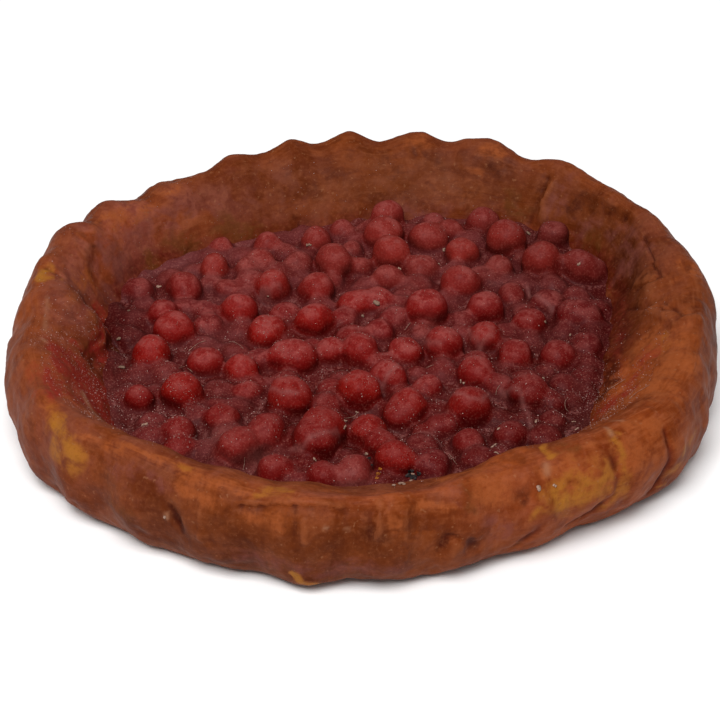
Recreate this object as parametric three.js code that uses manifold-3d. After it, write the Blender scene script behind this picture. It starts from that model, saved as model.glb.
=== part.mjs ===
// A hand-painted miniature tartlet of cast resin: a thick fluted pastry case, filled with small round
// berries that lie half sunk in a dark red glaze. The origin is the centre of the flat foot, +Z is up, and
// the side that faces -Y is the front. Lengths are millimetres, and angles are degrees from +X towards +Y.
import * as THREE from "three";
import { mergeVertices } from "three/addons/utils/BufferGeometryUtils.js";
import Module from "manifold-3d";

const wasm = await Module();
wasm.setup();

// Pastry case
const RIM_RADIUS = 18.4; // from the centre to the crest of the rim
const CASE_HEIGHT = 6; // from the foot to the crest
const WALL_BULGE = 1.6; // how far the outside of the wall stands out past the crest
const FOOT_INSET = 1.55; // how far the flat foot stays inside the crest
const WALL_INSIDE = 3.85; // from the crest in to the wall at the level of the glaze, on average
const FLOOR_INSIDE = 5.5; // from the crest in to where the wall meets the floor, on average
const FLOOR_HEIGHT = 1.4; // top of the case's floor, under the filling

// Flutes pressed into the wall
const FLUTES = 28; // round the whole case
const FLUTE_PHASE = 92.8; // where one flute has its peak
const FLUTE_WANDER = { by: 1.3, lobes: 6, at: 143 }; // how far the peaks stray from even spacing, and where
const FLUTE_OUT = 0.26; // how far a flute stands out of the wall
const FLUTE_UP = 0.22; // how far a flute lifts the crest
const LEAST_FLUTE = 0.12; // strength of the flutes at both ends, where they are almost gone

// Where the flutes are pressed deep: the middle angle, how far to each side they stay at that strength, how
// far they reach at all, and the strength.
const DEEP_FLUTES = [
  { middle: 102, full: 48, none: 76, strength: 1 },
  { middle: -105, full: 30, none: 60, strength: 0.5 },
];

// Filling
const GLAZE_HEIGHT = 2.4; // mean level of the glaze between the berries
const GLAZE_SWELL = 0.2; // how far that level rises and falls
const FIT_GAP = 0.15; // between the case and the filling
const BERRY_RADIUS = [0.82, 1.2]; // smallest and largest of the scattered berries
const BERRY_LIFT = [-0.15, 0.5]; // how far a berry's centre lies above the glaze, as a share of its radius
const BERRY_STRETCH = 0.09; // how far a berry is from round
const BERRY_CLOSENESS = 0.88; // least distance between two centres, as a share of touching
const WALL_CLEARANCE = 1.25; // least distance from a centre to the glaze's edge, as a share of the radius
const BERRY_TRIES = 6000;
const BERRY_SEED = 20;

// Fineness of the meshes
const AROUND = 5 * FLUTES;
const ALONG_SECTION = 19;
const FILLING_AROUND = AROUND / 4;
const FILLING_TOP_RINGS = [1, 0.66, 0.33];
const BERRY_SIDES = 7;
const BERRY_BANDS = 4;

const radians = THREE.MathUtils.degToRad;
const smooth = THREE.MathUtils.smoothstep;
const lerp = THREE.MathUtils.lerp;

// A repeatable draw from 0 to 1, by the minimal standard generator.
function makeDraw(seed) {
  let state = seed;
  return () => {
    state = (state * 16807) % 2147483647;
    return state / 2147483647;
  };
}

// The shortest way from one angle to another, in degrees.
function turn(from, to) {
  return ((((to - from) % 360) + 540) % 360) - 180;
}

// Slow waves round the case: each is [lobes in the whole circle, height, angle of one lobe].
function waves(list, angle) {
  return list.reduce((sum, [lobes, height, at]) => sum + height * Math.cos(radians(lobes * (angle - at))), 0);
}

// The plan isn't quite round, the crest rises and dips, and the wall is thicker in some places.
const PLAN_WAVES = [
  [2, 0.55, 41],
  [3, 0.2, -42],
  [4, 0.19, -25],
  [6, 0.22, -29],
  [7, 0.08, 3],
];
const CREST_WAVES = [
  [1, 0.1, 90],
  [2, 0.05, 0],
  [5, 0.1, 10],
  [9, 0.06, 30],
];
const WALL_WAVES = [
  [1, 0.3, -71],
  [2, 0.36, -36],
  [3, 0.6, -21],
  [4, 0.62, 0],
];

function crestRadius(angle) {
  return RIM_RADIUS + waves(PLAN_WAVES, angle);
}

function wallThickness(angle) {
  return WALL_INSIDE + waves(WALL_WAVES, angle);
}

// The section of the case from the foot's edge, up the outside, over the crest and down to the floor.
// Each point is [distance outside the crest line, height].
const SECTION = new THREE.SplineCurve(
  [
    [-FOOT_INSET, 0],
    [0.3, 0.3],
    [0.8 * WALL_BULGE, 0.24 * CASE_HEIGHT],
    [WALL_BULGE, 0.52 * CASE_HEIGHT],
    [0.84 * WALL_BULGE, 0.78 * CASE_HEIGHT],
    [0.45 * WALL_BULGE, 0.95 * CASE_HEIGHT],
    [0, CASE_HEIGHT],
    [-0.25 * WALL_INSIDE, 0.94 * CASE_HEIGHT],
    [-0.5 * WALL_INSIDE, 0.79 * CASE_HEIGHT],
    [-0.75 * WALL_INSIDE, 0.59 * CASE_HEIGHT],
    [-WALL_INSIDE, GLAZE_HEIGHT - 0.1],
    [-lerp(WALL_INSIDE, FLOOR_INSIDE, 0.4), FLOOR_HEIGHT + 0.35],
    [-FLOOR_INSIDE, FLOOR_HEIGHT],
  ].map(([out, up]) => new THREE.Vector2(out, up)),
);

// Places along the section, from 0 at the foot to 1 on the floor
const CREST_AT = 0.5;
const GLAZE_AT = 10 / 12; // where the wall reaches the level of the glaze
const FLUTES_START = [0.03, 0.16];
const FLUTES_END = [CREST_AT, 0.62];
const CREST_SPREAD = 0.13; // how far the rise and dip of the crest reaches to each side
const MARKS_START = [0, 0.08];
const MARKS_END = [0.72, 0.82];

function fluteStrength(angle) {
  const strengths = DEEP_FLUTES.map(
    ({ middle, full, none, strength }) => strength * (1 - smooth(Math.abs(turn(middle, angle)), full, none)),
  );
  return lerp(LEAST_FLUTE, 1, Math.max(...strengths));
}

function flute(angle) {
  const strayed = FLUTE_WANDER.by * Math.cos(radians(FLUTE_WANDER.lobes * (angle - FLUTE_WANDER.at)));
  return fluteStrength(angle) * Math.cos(radians(FLUTES * (angle - FLUTE_PHASE - strayed)));
}

// Folds, pits and lumps: each has an angle, a place along the section, a half width in degrees, a half
// length along the section, and how far it stands out.
const MARKS = [
  { angle: 16, at: 0.74, wide: 5, long: 0.06, out: -0.3 },
  { angle: 18, at: 0.6, wide: 5, long: 0.05, out: -0.3 },
  { angle: 7, at: 0.64, wide: 3.5, long: 0.08, out: 0.2 },
  { angle: 0, at: 0.64, wide: 5, long: 0.06, out: -0.3 },
  { angle: 53.5, at: 0.67, wide: 2.4, long: 0.14, out: -0.25 },
  { angle: 155, at: 0.68, wide: 4.5, long: 0.1, out: 0.35 },
  { angle: 162, at: 0.55, wide: 3, long: 0.08, out: 0.3 },
  { angle: -175, at: 0.68, wide: 8, long: 0.1, out: 0.4 },
  { angle: -119, at: 0.29, wide: 2.2, long: 0.07, out: -0.45 },
  { angle: -100.5, at: 0.1, wide: 3, long: 0.04, out: 0.3 },
  { angle: -76, at: 0.23, wide: 4, long: 0.05, out: -0.35 },
  { angle: -57, at: 0.33, wide: 6, long: 0.12, out: 0.2 },
  { angle: -55, at: 0.19, wide: 5, long: 0.035, out: -0.25 },
  { angle: -49, at: 0.31, wide: 2.4, long: 0.12, out: -0.35 },
  { angle: -38, at: 0.27, wide: 2.4, long: 0.11, out: -0.35 },
  { angle: -11, at: 0.25, wide: 10, long: 0.2, out: -0.3 },
];

function marks(angle, t) {
  return MARKS.reduce((sum, mark) => {
    const across = turn(mark.angle, angle) / mark.wide;
    const along = (t - mark.at) / mark.long;
    return sum + mark.out * Math.exp(-across * across - along * along);
  }, 0);
}

// A point of the case: its distance from the axis and its height, at an angle and a place on the section.
function casePoint(angle, t) {
  const point = SECTION.getPoint(t);
  const tangent = SECTION.getTangent(t);
  const outerSide = smooth(t, ...FLUTES_START) * (1 - smooth(t, ...FLUTES_END));
  const nearCrest = Math.exp(-(((t - CREST_AT) / CREST_SPREAD) ** 2));
  const clearOfFootAndFilling = smooth(t, ...MARKS_START) * (1 - smooth(t, ...MARKS_END));
  const relief = marks(angle, t) * clearOfFootAndFilling;
  const crest = FLUTE_UP * flute(angle) + waves(CREST_WAVES, angle);
  const out = t > CREST_AT ? (point.x * wallThickness(angle)) / WALL_INSIDE : point.x;
  const radius = crestRadius(angle) + out + FLUTE_OUT * outerSide * flute(angle) + relief * tangent.y;
  const height = point.y + nearCrest * crest - relief * tangent.x;
  return { radius, height: Math.max(height, 0) };
}

// A closed skin over rings of points, each ring given by a function of the angle, with a point on the axis
// at both ends. The rings run from the bottom, round the outside, to the top.
function skin(rings, around, bottom, top) {
  const positions = [0, 0, bottom];
  for (const ring of rings) {
    for (let i = 0; i < around; i++) {
      const angle = (360 * i) / around;
      const { radius, height } = ring(angle);
      positions.push(radius * Math.cos(radians(angle)), radius * Math.sin(radians(angle)), height);
    }
  }
  positions.push(0, 0, top);
  const at = (ring, i) => 1 + ring * around + (i % around);
  const last = 1 + rings.length * around;
  const faces = [];
  for (let i = 0; i < around; i++) {
    faces.push(0, at(0, i + 1), at(0, i));
    for (let ring = 0; ring + 1 < rings.length; ring++) {
      faces.push(at(ring, i), at(ring, i + 1), at(ring + 1, i));
      faces.push(at(ring, i + 1), at(ring + 1, i + 1), at(ring + 1, i));
    }
    faces.push(last, at(rings.length - 1, i), at(rings.length - 1, i + 1));
  }
  const geometry = new THREE.BufferGeometry();
  geometry.setAttribute("position", new THREE.Float32BufferAttribute(positions, 3));
  geometry.setIndex(faces);
  return geometry;
}

function pastryCase() {
  const rings = [];
  for (let i = 0; i < ALONG_SECTION; i++) {
    const t = i / (ALONG_SECTION - 1);
    rings.push((angle) => casePoint(angle, t));
  }
  return skin(rings, AROUND, 0, FLOOR_HEIGHT);
}

// The glaze lies a little uneven, and less so near the wall.
function glazeHeight(x, y) {
  const swell = Math.sin(0.45 * x + 1) * Math.cos(0.38 * y) + 0.6 * Math.sin(0.7 * y - 0.3 * x);
  const inward = 1 - (x * x + y * y) / RIM_RADIUS ** 2;
  return GLAZE_HEIGHT + GLAZE_SWELL * swell * inward;
}

// How far the filling reaches at an angle, at the level of the glaze.
function fillingRadius(angle) {
  return crestRadius(angle) - wallThickness(angle) - FIT_GAP;
}

// The glaze without its berries: it follows the wall from the floor up, and is open to view on top.
function glazeBody() {
  const rings = [];
  for (let i = ALONG_SECTION - 1; i / (ALONG_SECTION - 1) > GLAZE_AT; i--) {
    const t = i / (ALONG_SECTION - 1);
    rings.push((angle) => {
      const wall = casePoint(angle, t);
      return { radius: wall.radius - FIT_GAP, height: wall.height + FIT_GAP };
    });
  }
  for (const share of FILLING_TOP_RINGS) {
    rings.push((angle) => {
      const radius = share * fillingRadius(angle);
      const x = radius * Math.cos(radians(angle));
      const y = radius * Math.sin(radians(angle));
      return { radius, height: glazeHeight(x, y) };
    });
  }
  return skin(rings, FILLING_AROUND, FLOOR_HEIGHT + FIT_GAP, glazeHeight(0, 0));
}

// The berries that stand out from the rest: each is [x, y, radius, lift].
const LARGE_BERRIES = [
  [8.2, 10.4, 1.0, 0.55],
  [10.2, 7.6, 1.1, 0.5],
  [12.0, 7.7, 1.05, 0.2],
  [1.1, 12.8, 0.95, 0.4],
  [1.2, 9.4, 1.13, 0.45],
  [-2.1, 8.4, 1.12, 0.1],
  [-5.5, 5.8, 1.1, 0.35],
  [-3.0, 5.5, 1.05, 0.25],
  [-7.3, 3.2, 1.2, 0.05],
  [-8.9, 8.0, 0.95, 0.2],
  [-3.1, 1.9, 1.2, 0.25],
  [-0.5, 4.4, 1.3, 0.0],
  [3.4, 3.5, 1.2, 0.1],
  [-4.3, -1.6, 1.28, 0.05],
  [-10.1, -5.1, 1.1, 0.45],
  [-4.2, -5.7, 1.2, 0.3],
  [-2.6, -9.4, 1.32, 0.35],
  [-0.5, -5.1, 1.2, 0.35],
  [0.2, -8.9, 1.0, 0.2],
  [1.2, -11.1, 1.05, 0.25],
  [2.2, -7.1, 1.14, 0.15],
  [5.6, -6.1, 1.25, 0.35],
  [11.7, 2.4, 1.25, 0.0],
  [-12.1, -1.0, 1.05, 0.3],
];

// All berries: the large ones, then as many others as fit between them, of ever smaller size.
function berries() {
  const draw = makeDraw(BERRY_SEED);
  const placed = [];
  const place = (x, y, radius, lift) => {
    const stretch = BERRY_STRETCH * draw();
    placed.push({ x, y, radius, lift, stretch, heading: 180 * draw() });
  };
  for (const [x, y, radius, lift] of LARGE_BERRIES) {
    place(x, y, radius, lift);
  }
  for (let i = 0; i < BERRY_TRIES; i++) {
    const angle = 360 * draw();
    const reach = RIM_RADIUS * Math.sqrt(draw());
    const radius = lerp(...BERRY_RADIUS, 1 - i / BERRY_TRIES);
    const lift = lerp(...BERRY_LIFT, draw());
    const x = reach * Math.cos(radians(angle));
    const y = reach * Math.sin(radians(angle));
    const clearOfWall = reach + WALL_CLEARANCE * radius < fillingRadius(angle);
    const clearOfOthers = placed.every(
      (other) => Math.hypot(other.x - x, other.y - y) > BERRY_CLOSENESS * (other.radius + radius),
    );
    if (clearOfWall && clearOfOthers) {
      place(x, y, radius, lift);
    }
  }
  return placed;
}

// A berry's hidden underside is cut flat where it would reach the case's floor.
function berryGeometry({ x, y, radius, lift, stretch, heading }) {
  const geometry = new THREE.SphereGeometry(radius, BERRY_SIDES, BERRY_BANDS);
  geometry.rotateX(radians(90));
  geometry.scale(1 + stretch, 1 - stretch, 1);
  geometry.rotateZ(radians(heading));
  geometry.translate(x, y, glazeHeight(x, y) + lift * radius);
  const lowest = FLOOR_HEIGHT + 2 * FIT_GAP;
  const points = geometry.attributes.position;
  for (let i = 0; i < points.count; i++) {
    points.setZ(i, Math.max(points.getZ(i), lowest));
  }
  return geometry;
}

// Between three.js geometry and solids that can be joined
function toSolid(geometry) {
  geometry.deleteAttribute("normal");
  geometry.deleteAttribute("uv");
  const merged = mergeVertices(geometry);
  return new wasm.Manifold(
    new wasm.Mesh({
      numProp: 3,
      vertProperties: new Float32Array(merged.attributes.position.array),
      triVerts: new Uint32Array(merged.index.array),
    }),
  );
}

function toGeometry(solid) {
  const mesh = solid.getMesh();
  const geometry = new THREE.BufferGeometry();
  geometry.setAttribute("position", new THREE.BufferAttribute(mesh.vertProperties, 3));
  geometry.setIndex(new THREE.BufferAttribute(mesh.triVerts, 1));
  return geometry;
}

// Glaze and berries are one piece. Of what the joining gives, the outer body is kept, so that a hollow
// sealed in between berries is filled.
function berryFilling() {
  const addBerry = (solid, berry) => solid.add(toSolid(berryGeometry(berry)));
  const joined = berries().reduce(addBerry, toSolid(glazeBody()));
  const bodies = joined.decompose().sort((a, b) => b.volume() - a.volume());
  return toGeometry(bodies[0]);
}

function piece(name, geometry, color, roughness) {
  const mesh = new THREE.Mesh(geometry, new THREE.MeshStandardMaterial({ color, roughness, metalness: 0 }));
  mesh.name = name;
  return mesh;
}

const tartlet = new THREE.Group();
tartlet.add(piece("pastry_case", pastryCase(), "#96502f", 0.5));
tartlet.add(piece("berry_filling", berryFilling(), "#82262b", 0.35));

export default tartlet;
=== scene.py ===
"""Dresses the hand-painted miniature berry tartlet for a picture: the painted pastry case, the berries half
sunk in their glaze, and the dust, lint and crumbs that lie on them. Lengths are millimetres until a mesh is
made, angles are degrees from +X towards +Y, and places along the case's section run from 0 at the foot, over
the crest, to 1 on the floor inside."""
import math
from dataclasses import dataclass

import bmesh
import bpy
import numpy as np
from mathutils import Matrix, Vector, noise
from mathutils.bvhtree import BVHTree


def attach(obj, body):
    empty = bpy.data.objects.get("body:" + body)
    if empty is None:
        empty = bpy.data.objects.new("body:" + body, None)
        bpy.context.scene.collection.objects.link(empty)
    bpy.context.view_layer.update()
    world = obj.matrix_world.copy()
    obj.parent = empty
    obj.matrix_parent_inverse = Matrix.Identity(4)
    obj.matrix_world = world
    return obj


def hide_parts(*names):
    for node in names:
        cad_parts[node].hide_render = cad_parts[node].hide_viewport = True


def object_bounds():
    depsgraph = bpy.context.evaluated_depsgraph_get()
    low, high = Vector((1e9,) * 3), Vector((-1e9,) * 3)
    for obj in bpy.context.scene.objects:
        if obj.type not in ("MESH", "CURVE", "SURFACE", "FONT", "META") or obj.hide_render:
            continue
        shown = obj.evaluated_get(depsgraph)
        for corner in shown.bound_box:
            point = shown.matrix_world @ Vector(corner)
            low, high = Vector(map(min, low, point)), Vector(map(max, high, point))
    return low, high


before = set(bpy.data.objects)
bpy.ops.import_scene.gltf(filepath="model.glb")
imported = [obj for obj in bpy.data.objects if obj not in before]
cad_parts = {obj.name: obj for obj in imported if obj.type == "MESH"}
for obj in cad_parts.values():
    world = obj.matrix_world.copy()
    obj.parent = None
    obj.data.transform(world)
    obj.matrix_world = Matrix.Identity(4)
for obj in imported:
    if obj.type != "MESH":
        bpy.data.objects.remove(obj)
cad_low, cad_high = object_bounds()

MM = 0.001
CASE_LOW = np.array(cad_low) / MM
CASE_HIGH = np.array(cad_high) / MM

# Pastry case, as in the part
RIM_RADIUS = 18.4
CASE_HEIGHT = 6.0
WALL_BULGE = 1.6
FOOT_INSET = 1.55
WALL_INSIDE = 3.85
FLOOR_INSIDE = 5.5
FLOOR_HEIGHT = 1.4
FLUTES = 28
FLUTE_PHASE = 92.8
FLUTE_WANDER = 1.3
FLUTE_WANDER_LOBES = 6
FLUTE_WANDER_AT = 143
FLUTE_OUT = 0.26
FLUTE_UP = 0.22
LEAST_FLUTE = 0.12

# Filling
GLAZE_HEIGHT = 2.4
GLAZE_SWELL = 0.2
INTO_WALL = 0.35  # how far the filling reaches into the wall, so that no gap shows

# Photograph: 720 pixels square, and the pixel that shows the middle of the object at a height of 3 mm
IMAGE = 720
TARGET = np.array([0.0, 0.0, 3.0])
TARGET_PIXEL = (366.3, 341.3)
DISTANCE = 150.0
ELEVATION = 32.5
LENS = 133.0
SENSOR = 36.0

rng = np.random.default_rng(7)


# Small helpers

def smooth(x, start, end):
    share = np.clip((x - start) / (end - start), 0, 1)
    return share * share * (3 - 2 * share)


def bell(x, width):
    """A soft bump: 1 where x is 0, and next to nothing beyond twice the width."""
    return np.exp(-((x / width) ** 2))


def unit(vector):
    """A vector, or each row of several, at a length of 1."""
    return vector / np.linalg.norm(vector, axis=-1, keepdims=True)


def turn(start, end):
    """The shortest way from one angle to another, in degrees."""
    return (end - start + 180) % 360 - 180


def waves(rows, angle):
    """Slow waves round the case: each row is (lobes, height, angle of one lobe)."""
    return sum(height * np.cos(np.radians(lobes * (angle - at))) for lobes, height, at in rows)


def spots(rows, angle, along):
    """The sum of soft spots: each row is (angle, place, half width in degrees, half length, strength)."""
    total = np.zeros_like(angle)
    for at, place, wide, long, strength in rows:
        total += strength * bell(turn(at, angle), wide) * bell(along - place, long)
    return total


def spline(points, t):
    """A smooth curve through points, evenly spread over t from 0 to 1, and its direction."""
    points = np.array(points)
    last = len(points) - 1
    place = np.clip(t, 0, 1) * last
    i = np.minimum(place.astype(int), last - 1)
    w = (place - i)[..., None]
    before, start, end, after = (points[np.clip(i + step, 0, last)] for step in (-1, 0, 1, 2))
    leaving = (end - before) / 2
    arriving = (after - start) / 2
    cubic = 2 * start - 2 * end + leaving + arriving
    square = 3 * end - 3 * start - 2 * leaving - arriving
    value = ((cubic * w + square) * w + leaving) * w + start
    return value, unit((3 * cubic * w + 2 * square) * w + leaving)


def bumps(points, size, seed):
    """Smooth noise from -1 to 1 at each point, with bumps of about that size."""
    moved = points.reshape(-1, 3) / size + seed * 17.3
    values = np.array([noise.noise(p) for p in moved.tolist()])
    return values.reshape(points.shape[:-1])


def layered_bumps(rows, points):
    """The sum of several bumps: each row is (height, size, seed)."""
    return sum(height * bumps(points, size, seed) for height, size, seed in rows)


def distance_to_line(points, line):
    """How far each point is from a line of straight stretches."""
    nearest = np.full(points.shape[:-1], np.inf)
    for start, end in zip(line[:-1], line[1:]):
        way = end - start
        share = np.clip((points - start) @ way / max(way @ way, 1e-12), 0, 1)
        nearest = np.minimum(nearest, np.linalg.norm(points - start - share[..., None] * way, axis=-1))
    return nearest


def round_the_axis(angle, radius, height):
    """Points, or directions, from an angle, a radius and a height."""
    turned = np.radians(angle)
    return np.stack([radius * np.cos(turned), radius * np.sin(turned), height], -1)


def pairs(numbers):
    """The columns and rows of some pixels, two by two."""
    return zip(numbers[::2], numbers[1::2])


# The photograph's camera

FOCAL = LENS / SENSOR * IMAGE
TILT = math.radians(ELEVATION)
FORWARD = np.array([0, math.cos(TILT), -math.sin(TILT)])
UPWARD = np.array([0, math.sin(TILT), math.cos(TILT)])
CAMERA = TARGET - DISTANCE * FORWARD
ACROSS, DOWN = (IMAGE / 2 - np.array(TARGET_PIXEL)) / FOCAL
AIM = unit(FORWARD + ACROSS * np.array([1, 0, 0]) - DOWN * UPWARD)
rotation = Vector(AIM).to_track_quat("-Z", "Y")
IMAGE_RIGHT = np.array(rotation @ Vector((1, 0, 0)))
IMAGE_UP = np.array(rotation @ Vector((0, 1, 0)))


def ray(column, row):
    """The direction in which the camera sees a pixel of the photograph."""
    return unit(AIM + IMAGE_RIGHT * (column - IMAGE / 2) / FOCAL - IMAGE_UP * (row - IMAGE / 2) / FOCAL)


def on_level(column, row, height):
    """The point at that height that a pixel shows."""
    direction = ray(column, row)
    return CAMERA + direction * (height - CAMERA[2]) / direction[2]


# Form of the case

PLAN_WAVES = ((2, 0.55, 41), (3, 0.2, -42), (4, 0.19, -25), (6, 0.22, -29), (7, 0.08, 3))
CREST_WAVES = ((1, 0.1, 90), (2, 0.05, 0), (5, 0.1, 10), (9, 0.06, 30))
WALL_WAVES = ((1, 0.3, -71), (2, 0.36, -36), (3, 0.6, -21), (4, 0.62, 0))

SECTION = [
    (-FOOT_INSET, 0),
    (0.3, 0.3),
    (0.8 * WALL_BULGE, 0.24 * CASE_HEIGHT),
    (WALL_BULGE, 0.52 * CASE_HEIGHT),
    (0.84 * WALL_BULGE, 0.78 * CASE_HEIGHT),
    (0.45 * WALL_BULGE, 0.95 * CASE_HEIGHT),
    (0, CASE_HEIGHT),
    (-0.25 * WALL_INSIDE, 0.94 * CASE_HEIGHT),
    (-0.5 * WALL_INSIDE, 0.79 * CASE_HEIGHT),
    (-0.75 * WALL_INSIDE, 0.59 * CASE_HEIGHT),
    (-WALL_INSIDE, GLAZE_HEIGHT - 0.1),
    (-(WALL_INSIDE + 0.4 * (FLOOR_INSIDE - WALL_INSIDE)), FLOOR_HEIGHT + 0.35),
    (-FLOOR_INSIDE, FLOOR_HEIGHT),
]
CREST_AT = 0.5
SECTION_LENGTH = 17.5
OUTER_SIDE = (0.03, 0.16)  # where along the section the flutes begin and are full
FLUTES_END = 0.62  # where they end, inside
CREST_WIDTH = 0.13  # how far along the section the crest's own waves reach

# Bumps: height and size in millimetres, and the seed of each layer
SOFT_RIDGES = (0.1, 4.0, 4)
PORES = (0.16, 0.9, 12)
PORE_START = 0.32  # how strong the noise is where a pore begins
CASE_BUMPS = ((0.24, 3.2, 1), (0.11, 1.5, 2), (0.05, 0.7, 3), (0.025, 0.33, 11))
GLAZE_BUMPS = ((0.13, 1.8, 5), (0.05, 0.9, 6))
FILLING_BUMPS = ((0.15, 1.7, 8), (0.05, 0.7, 9), (0.012, 0.3, 10))

# Lumps and pits: angle, place, half width in degrees, half length, and how far each stands out
LUMPS = (
    (7, 0.655, 3.5, 0.05, 0.22), (14, 0.68, 4, 0.05, 0.2), (2, 0.73, 5, 0.05, -0.15),
    (155, 0.68, 5, 0.1, 0.32), (162, 0.55, 4, 0.08, 0.25), (-179, 0.66, 7, 0.11, 0.85),
    (172, 0.76, 2.5, 0.05, -0.4), (-99.5, 0.12, 3.2, 0.05, 0.35), (-78.5, 0.244, 1.8, 0.035, -0.18),
    (-74, 0.224, 1.8, 0.035, -0.16), (-76.2, 0.22, 1.4, 0.03, 0.2), (-65, 0.338, 1.6, 0.03, -0.18),
    (-57, 0.33, 6, 0.12, 0.2), (-44, 0.28, 3, 0.12, 0.15), (-11, 0.25, 10, 0.2, -0.3),
    (93.5, 0.61, 1.6, 0.04, -0.25), (80.5, 0.606, 1.6, 0.04, -0.25), (108, 0.83, 2.2, 0.04, -0.4),
    (43, 0.65, 3, 0.05, -0.25), (5, 0.36, 7, 0.12, 0.3), (-20, 0.34, 6, 0.12, -0.22),
    (-53, 0.16, 12, 0.1, -0.3), (-138, 0.16, 7, 0.1, -0.2), (-176, 0.39, 3, 0.12, -0.3),
    (143, 0.49, 6, 0.1, -0.35), (131, 0.49, 3, 0.08, -0.3), (110.5, 0.48, 3.5, 0.08, 0.3),
    (50, 0.47, 3, 0.08, 0.25), (-105, 0.15, 30, 0.1, -0.22), (-85, 0.57, 13, 0.08, -0.58),
    (-62, 0.6, 6, 0.06, 0.22), (-141, 0.58, 6, 0.06, -0.2), (-15, 0.37, 3, 0.1, -0.2),
)

# Creases and raised lines: half width and height in millimetres, then the column and row of each pixel
CREASES = (
    (0.14, -0.12, 643, 236, 648, 252, 653, 264, 661, 277),
    (0.16, -0.14, 659, 276, 655, 283, 645, 288, 636, 291),
    (0.2, -0.18, 662, 303, 670, 307, 679, 312, 684, 315, 692, 312, 699, 305),
    (0.16, -0.16, 625, 309, 640, 309, 660, 310, 672, 311), (0.28, -0.22, 612, 286, 620, 292, 630, 289),
    (0.5, -0.26, 604, 213, 614, 217, 626, 221),
    (0.24, -0.12, 604, 452, 611, 459, 616, 472, 618, 486, 614, 497, 607, 503),
    (0.26, -0.16, 603, 507, 594, 515, 585, 523, 572, 530),
    (0.26, -0.14, 540, 533, 533, 538, 526, 545, 521, 551),
    (0.26, -0.2, 664, 432, 668, 448, 668, 465, 663, 481, 652, 495),
    (0.34, -0.3, 168, 509, 171, 516, 175, 525), (0.24, -0.12, 446, 540, 441, 547, 438, 555),
    (0.3, -0.14, 463, 542, 470, 546, 476, 552), (0.18, -0.15, 446, 540, 455, 537, 463, 541),
    (0.22, -0.12, 93, 242, 90, 250, 86, 257), (0.16, -0.15, 44, 268, 52, 271, 58, 274, 62, 279),
    (0.22, -0.2, 98, 343, 90, 349, 84, 356), (0.3, -0.2, 546, 178, 540, 195, 533, 213, 530, 222),
    (0.3, -0.12, 294, 505, 293, 530, 294, 556), (0.3, -0.12, 371, 512, 369, 528, 368, 542),
    (0.35, -0.1, 240, 507, 270, 507, 300, 508, 340, 512, 380, 512), (0.6, 0.18, 94, 228, 88, 245, 84, 262),
    (0.4, -0.26, 113, 326, 114, 342, 104, 354, 90, 358), (0.4, -0.2, 70, 322, 76, 310, 88, 302),
    (0.9, 0.14, 145, 205, 170, 192, 200, 178), (0.7, 0.12, 636, 245, 648, 268, 652, 290),
    (0.4, 0.22, 650, 312, 676, 322, 700, 318), (0.2, 0.12, 200, 482, 200, 510, 201, 540),
    (0.22, 0.14, 304, 500, 303, 520, 305, 542), (0.22, 0.13, 379, 502, 379, 520, 378, 540),
    (0.2, 0.1, 407, 510, 406, 535, 406, 560), (0.25, 0.12, 235, 500, 270, 501, 300, 502, 340, 505),
    (0.3, 0.15, 549, 186, 546, 202, 543, 220),
)

CREASE_WOBBLE = 0.15  # how far creases stray, in millimetres
WOBBLE = {"rust": 0.2, "pale": 0.1}  # the same for narrow lines of paint
PATCH_WOBBLE = 0.5  # and for the edges of painted patches
WOBBLE_SIZE = 1.3
WOBBLE_SEEDS = (21, 22, 23)
RAGGED = (0.5, 0.7, 24)  # how much a stroke's width varies, over what length, and the seed
AROUND = 900
ALONG_SHOWN = 100  # rings from the foot to just under the glaze
ALONG_HIDDEN = 7  # rings under the filling
SHOWN_TO = 0.88

# Where the flutes are strong, in degrees: the middle of the back, and from there where they start, are full,
# fade and end. In front they are fainter: the middle, and how far from it they fade and end
BACK_FLUTES = (102, -57, -47, 48, 76)
FRONT_FLUTES = (-105, 30, 60)
FRONT_STRENGTH = 0.5


def crest_radius(angle):
    return RIM_RADIUS + waves(PLAN_WAVES, angle)


def wall_thickness(angle):
    return WALL_INSIDE + waves(WALL_WAVES, angle)


def flute(angle):
    middle, start, full, fade, end = BACK_FLUTES
    from_back = turn(middle, angle)
    back = smooth(from_back, start, full) * (1 - smooth(from_back, fade, end))
    middle, fade, end = FRONT_FLUTES
    front = FRONT_STRENGTH * (1 - smooth(np.abs(turn(middle, angle)), fade, end))
    strength = LEAST_FLUTE + (1 - LEAST_FLUTE) * np.maximum(back, front)
    strayed = FLUTE_WANDER * np.cos(np.radians(FLUTE_WANDER_LOBES * (angle - FLUTE_WANDER_AT)))
    return strength * np.cos(np.radians(FLUTES * (angle - FLUTE_PHASE - strayed)))


def plain_case(angle, along):
    """Points of the case without its small relief, and the direction along the section at each."""
    point, direction = spline(SECTION, along)
    outer_side = smooth(along, *OUTER_SIDE) * (1 - smooth(along, CREST_AT, FLUTES_END))
    near_crest = bell(along - CREST_AT, CREST_WIDTH)
    out = np.where(along > CREST_AT, point[..., 0] * wall_thickness(angle) / WALL_INSIDE, point[..., 0])
    radius = crest_radius(angle) + out + FLUTE_OUT * outer_side * flute(angle)
    height = point[..., 1] + near_crest * (FLUTE_UP * flute(angle) + waves(CREST_WAVES, angle))
    return round_the_axis(angle, radius, height), direction


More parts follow.
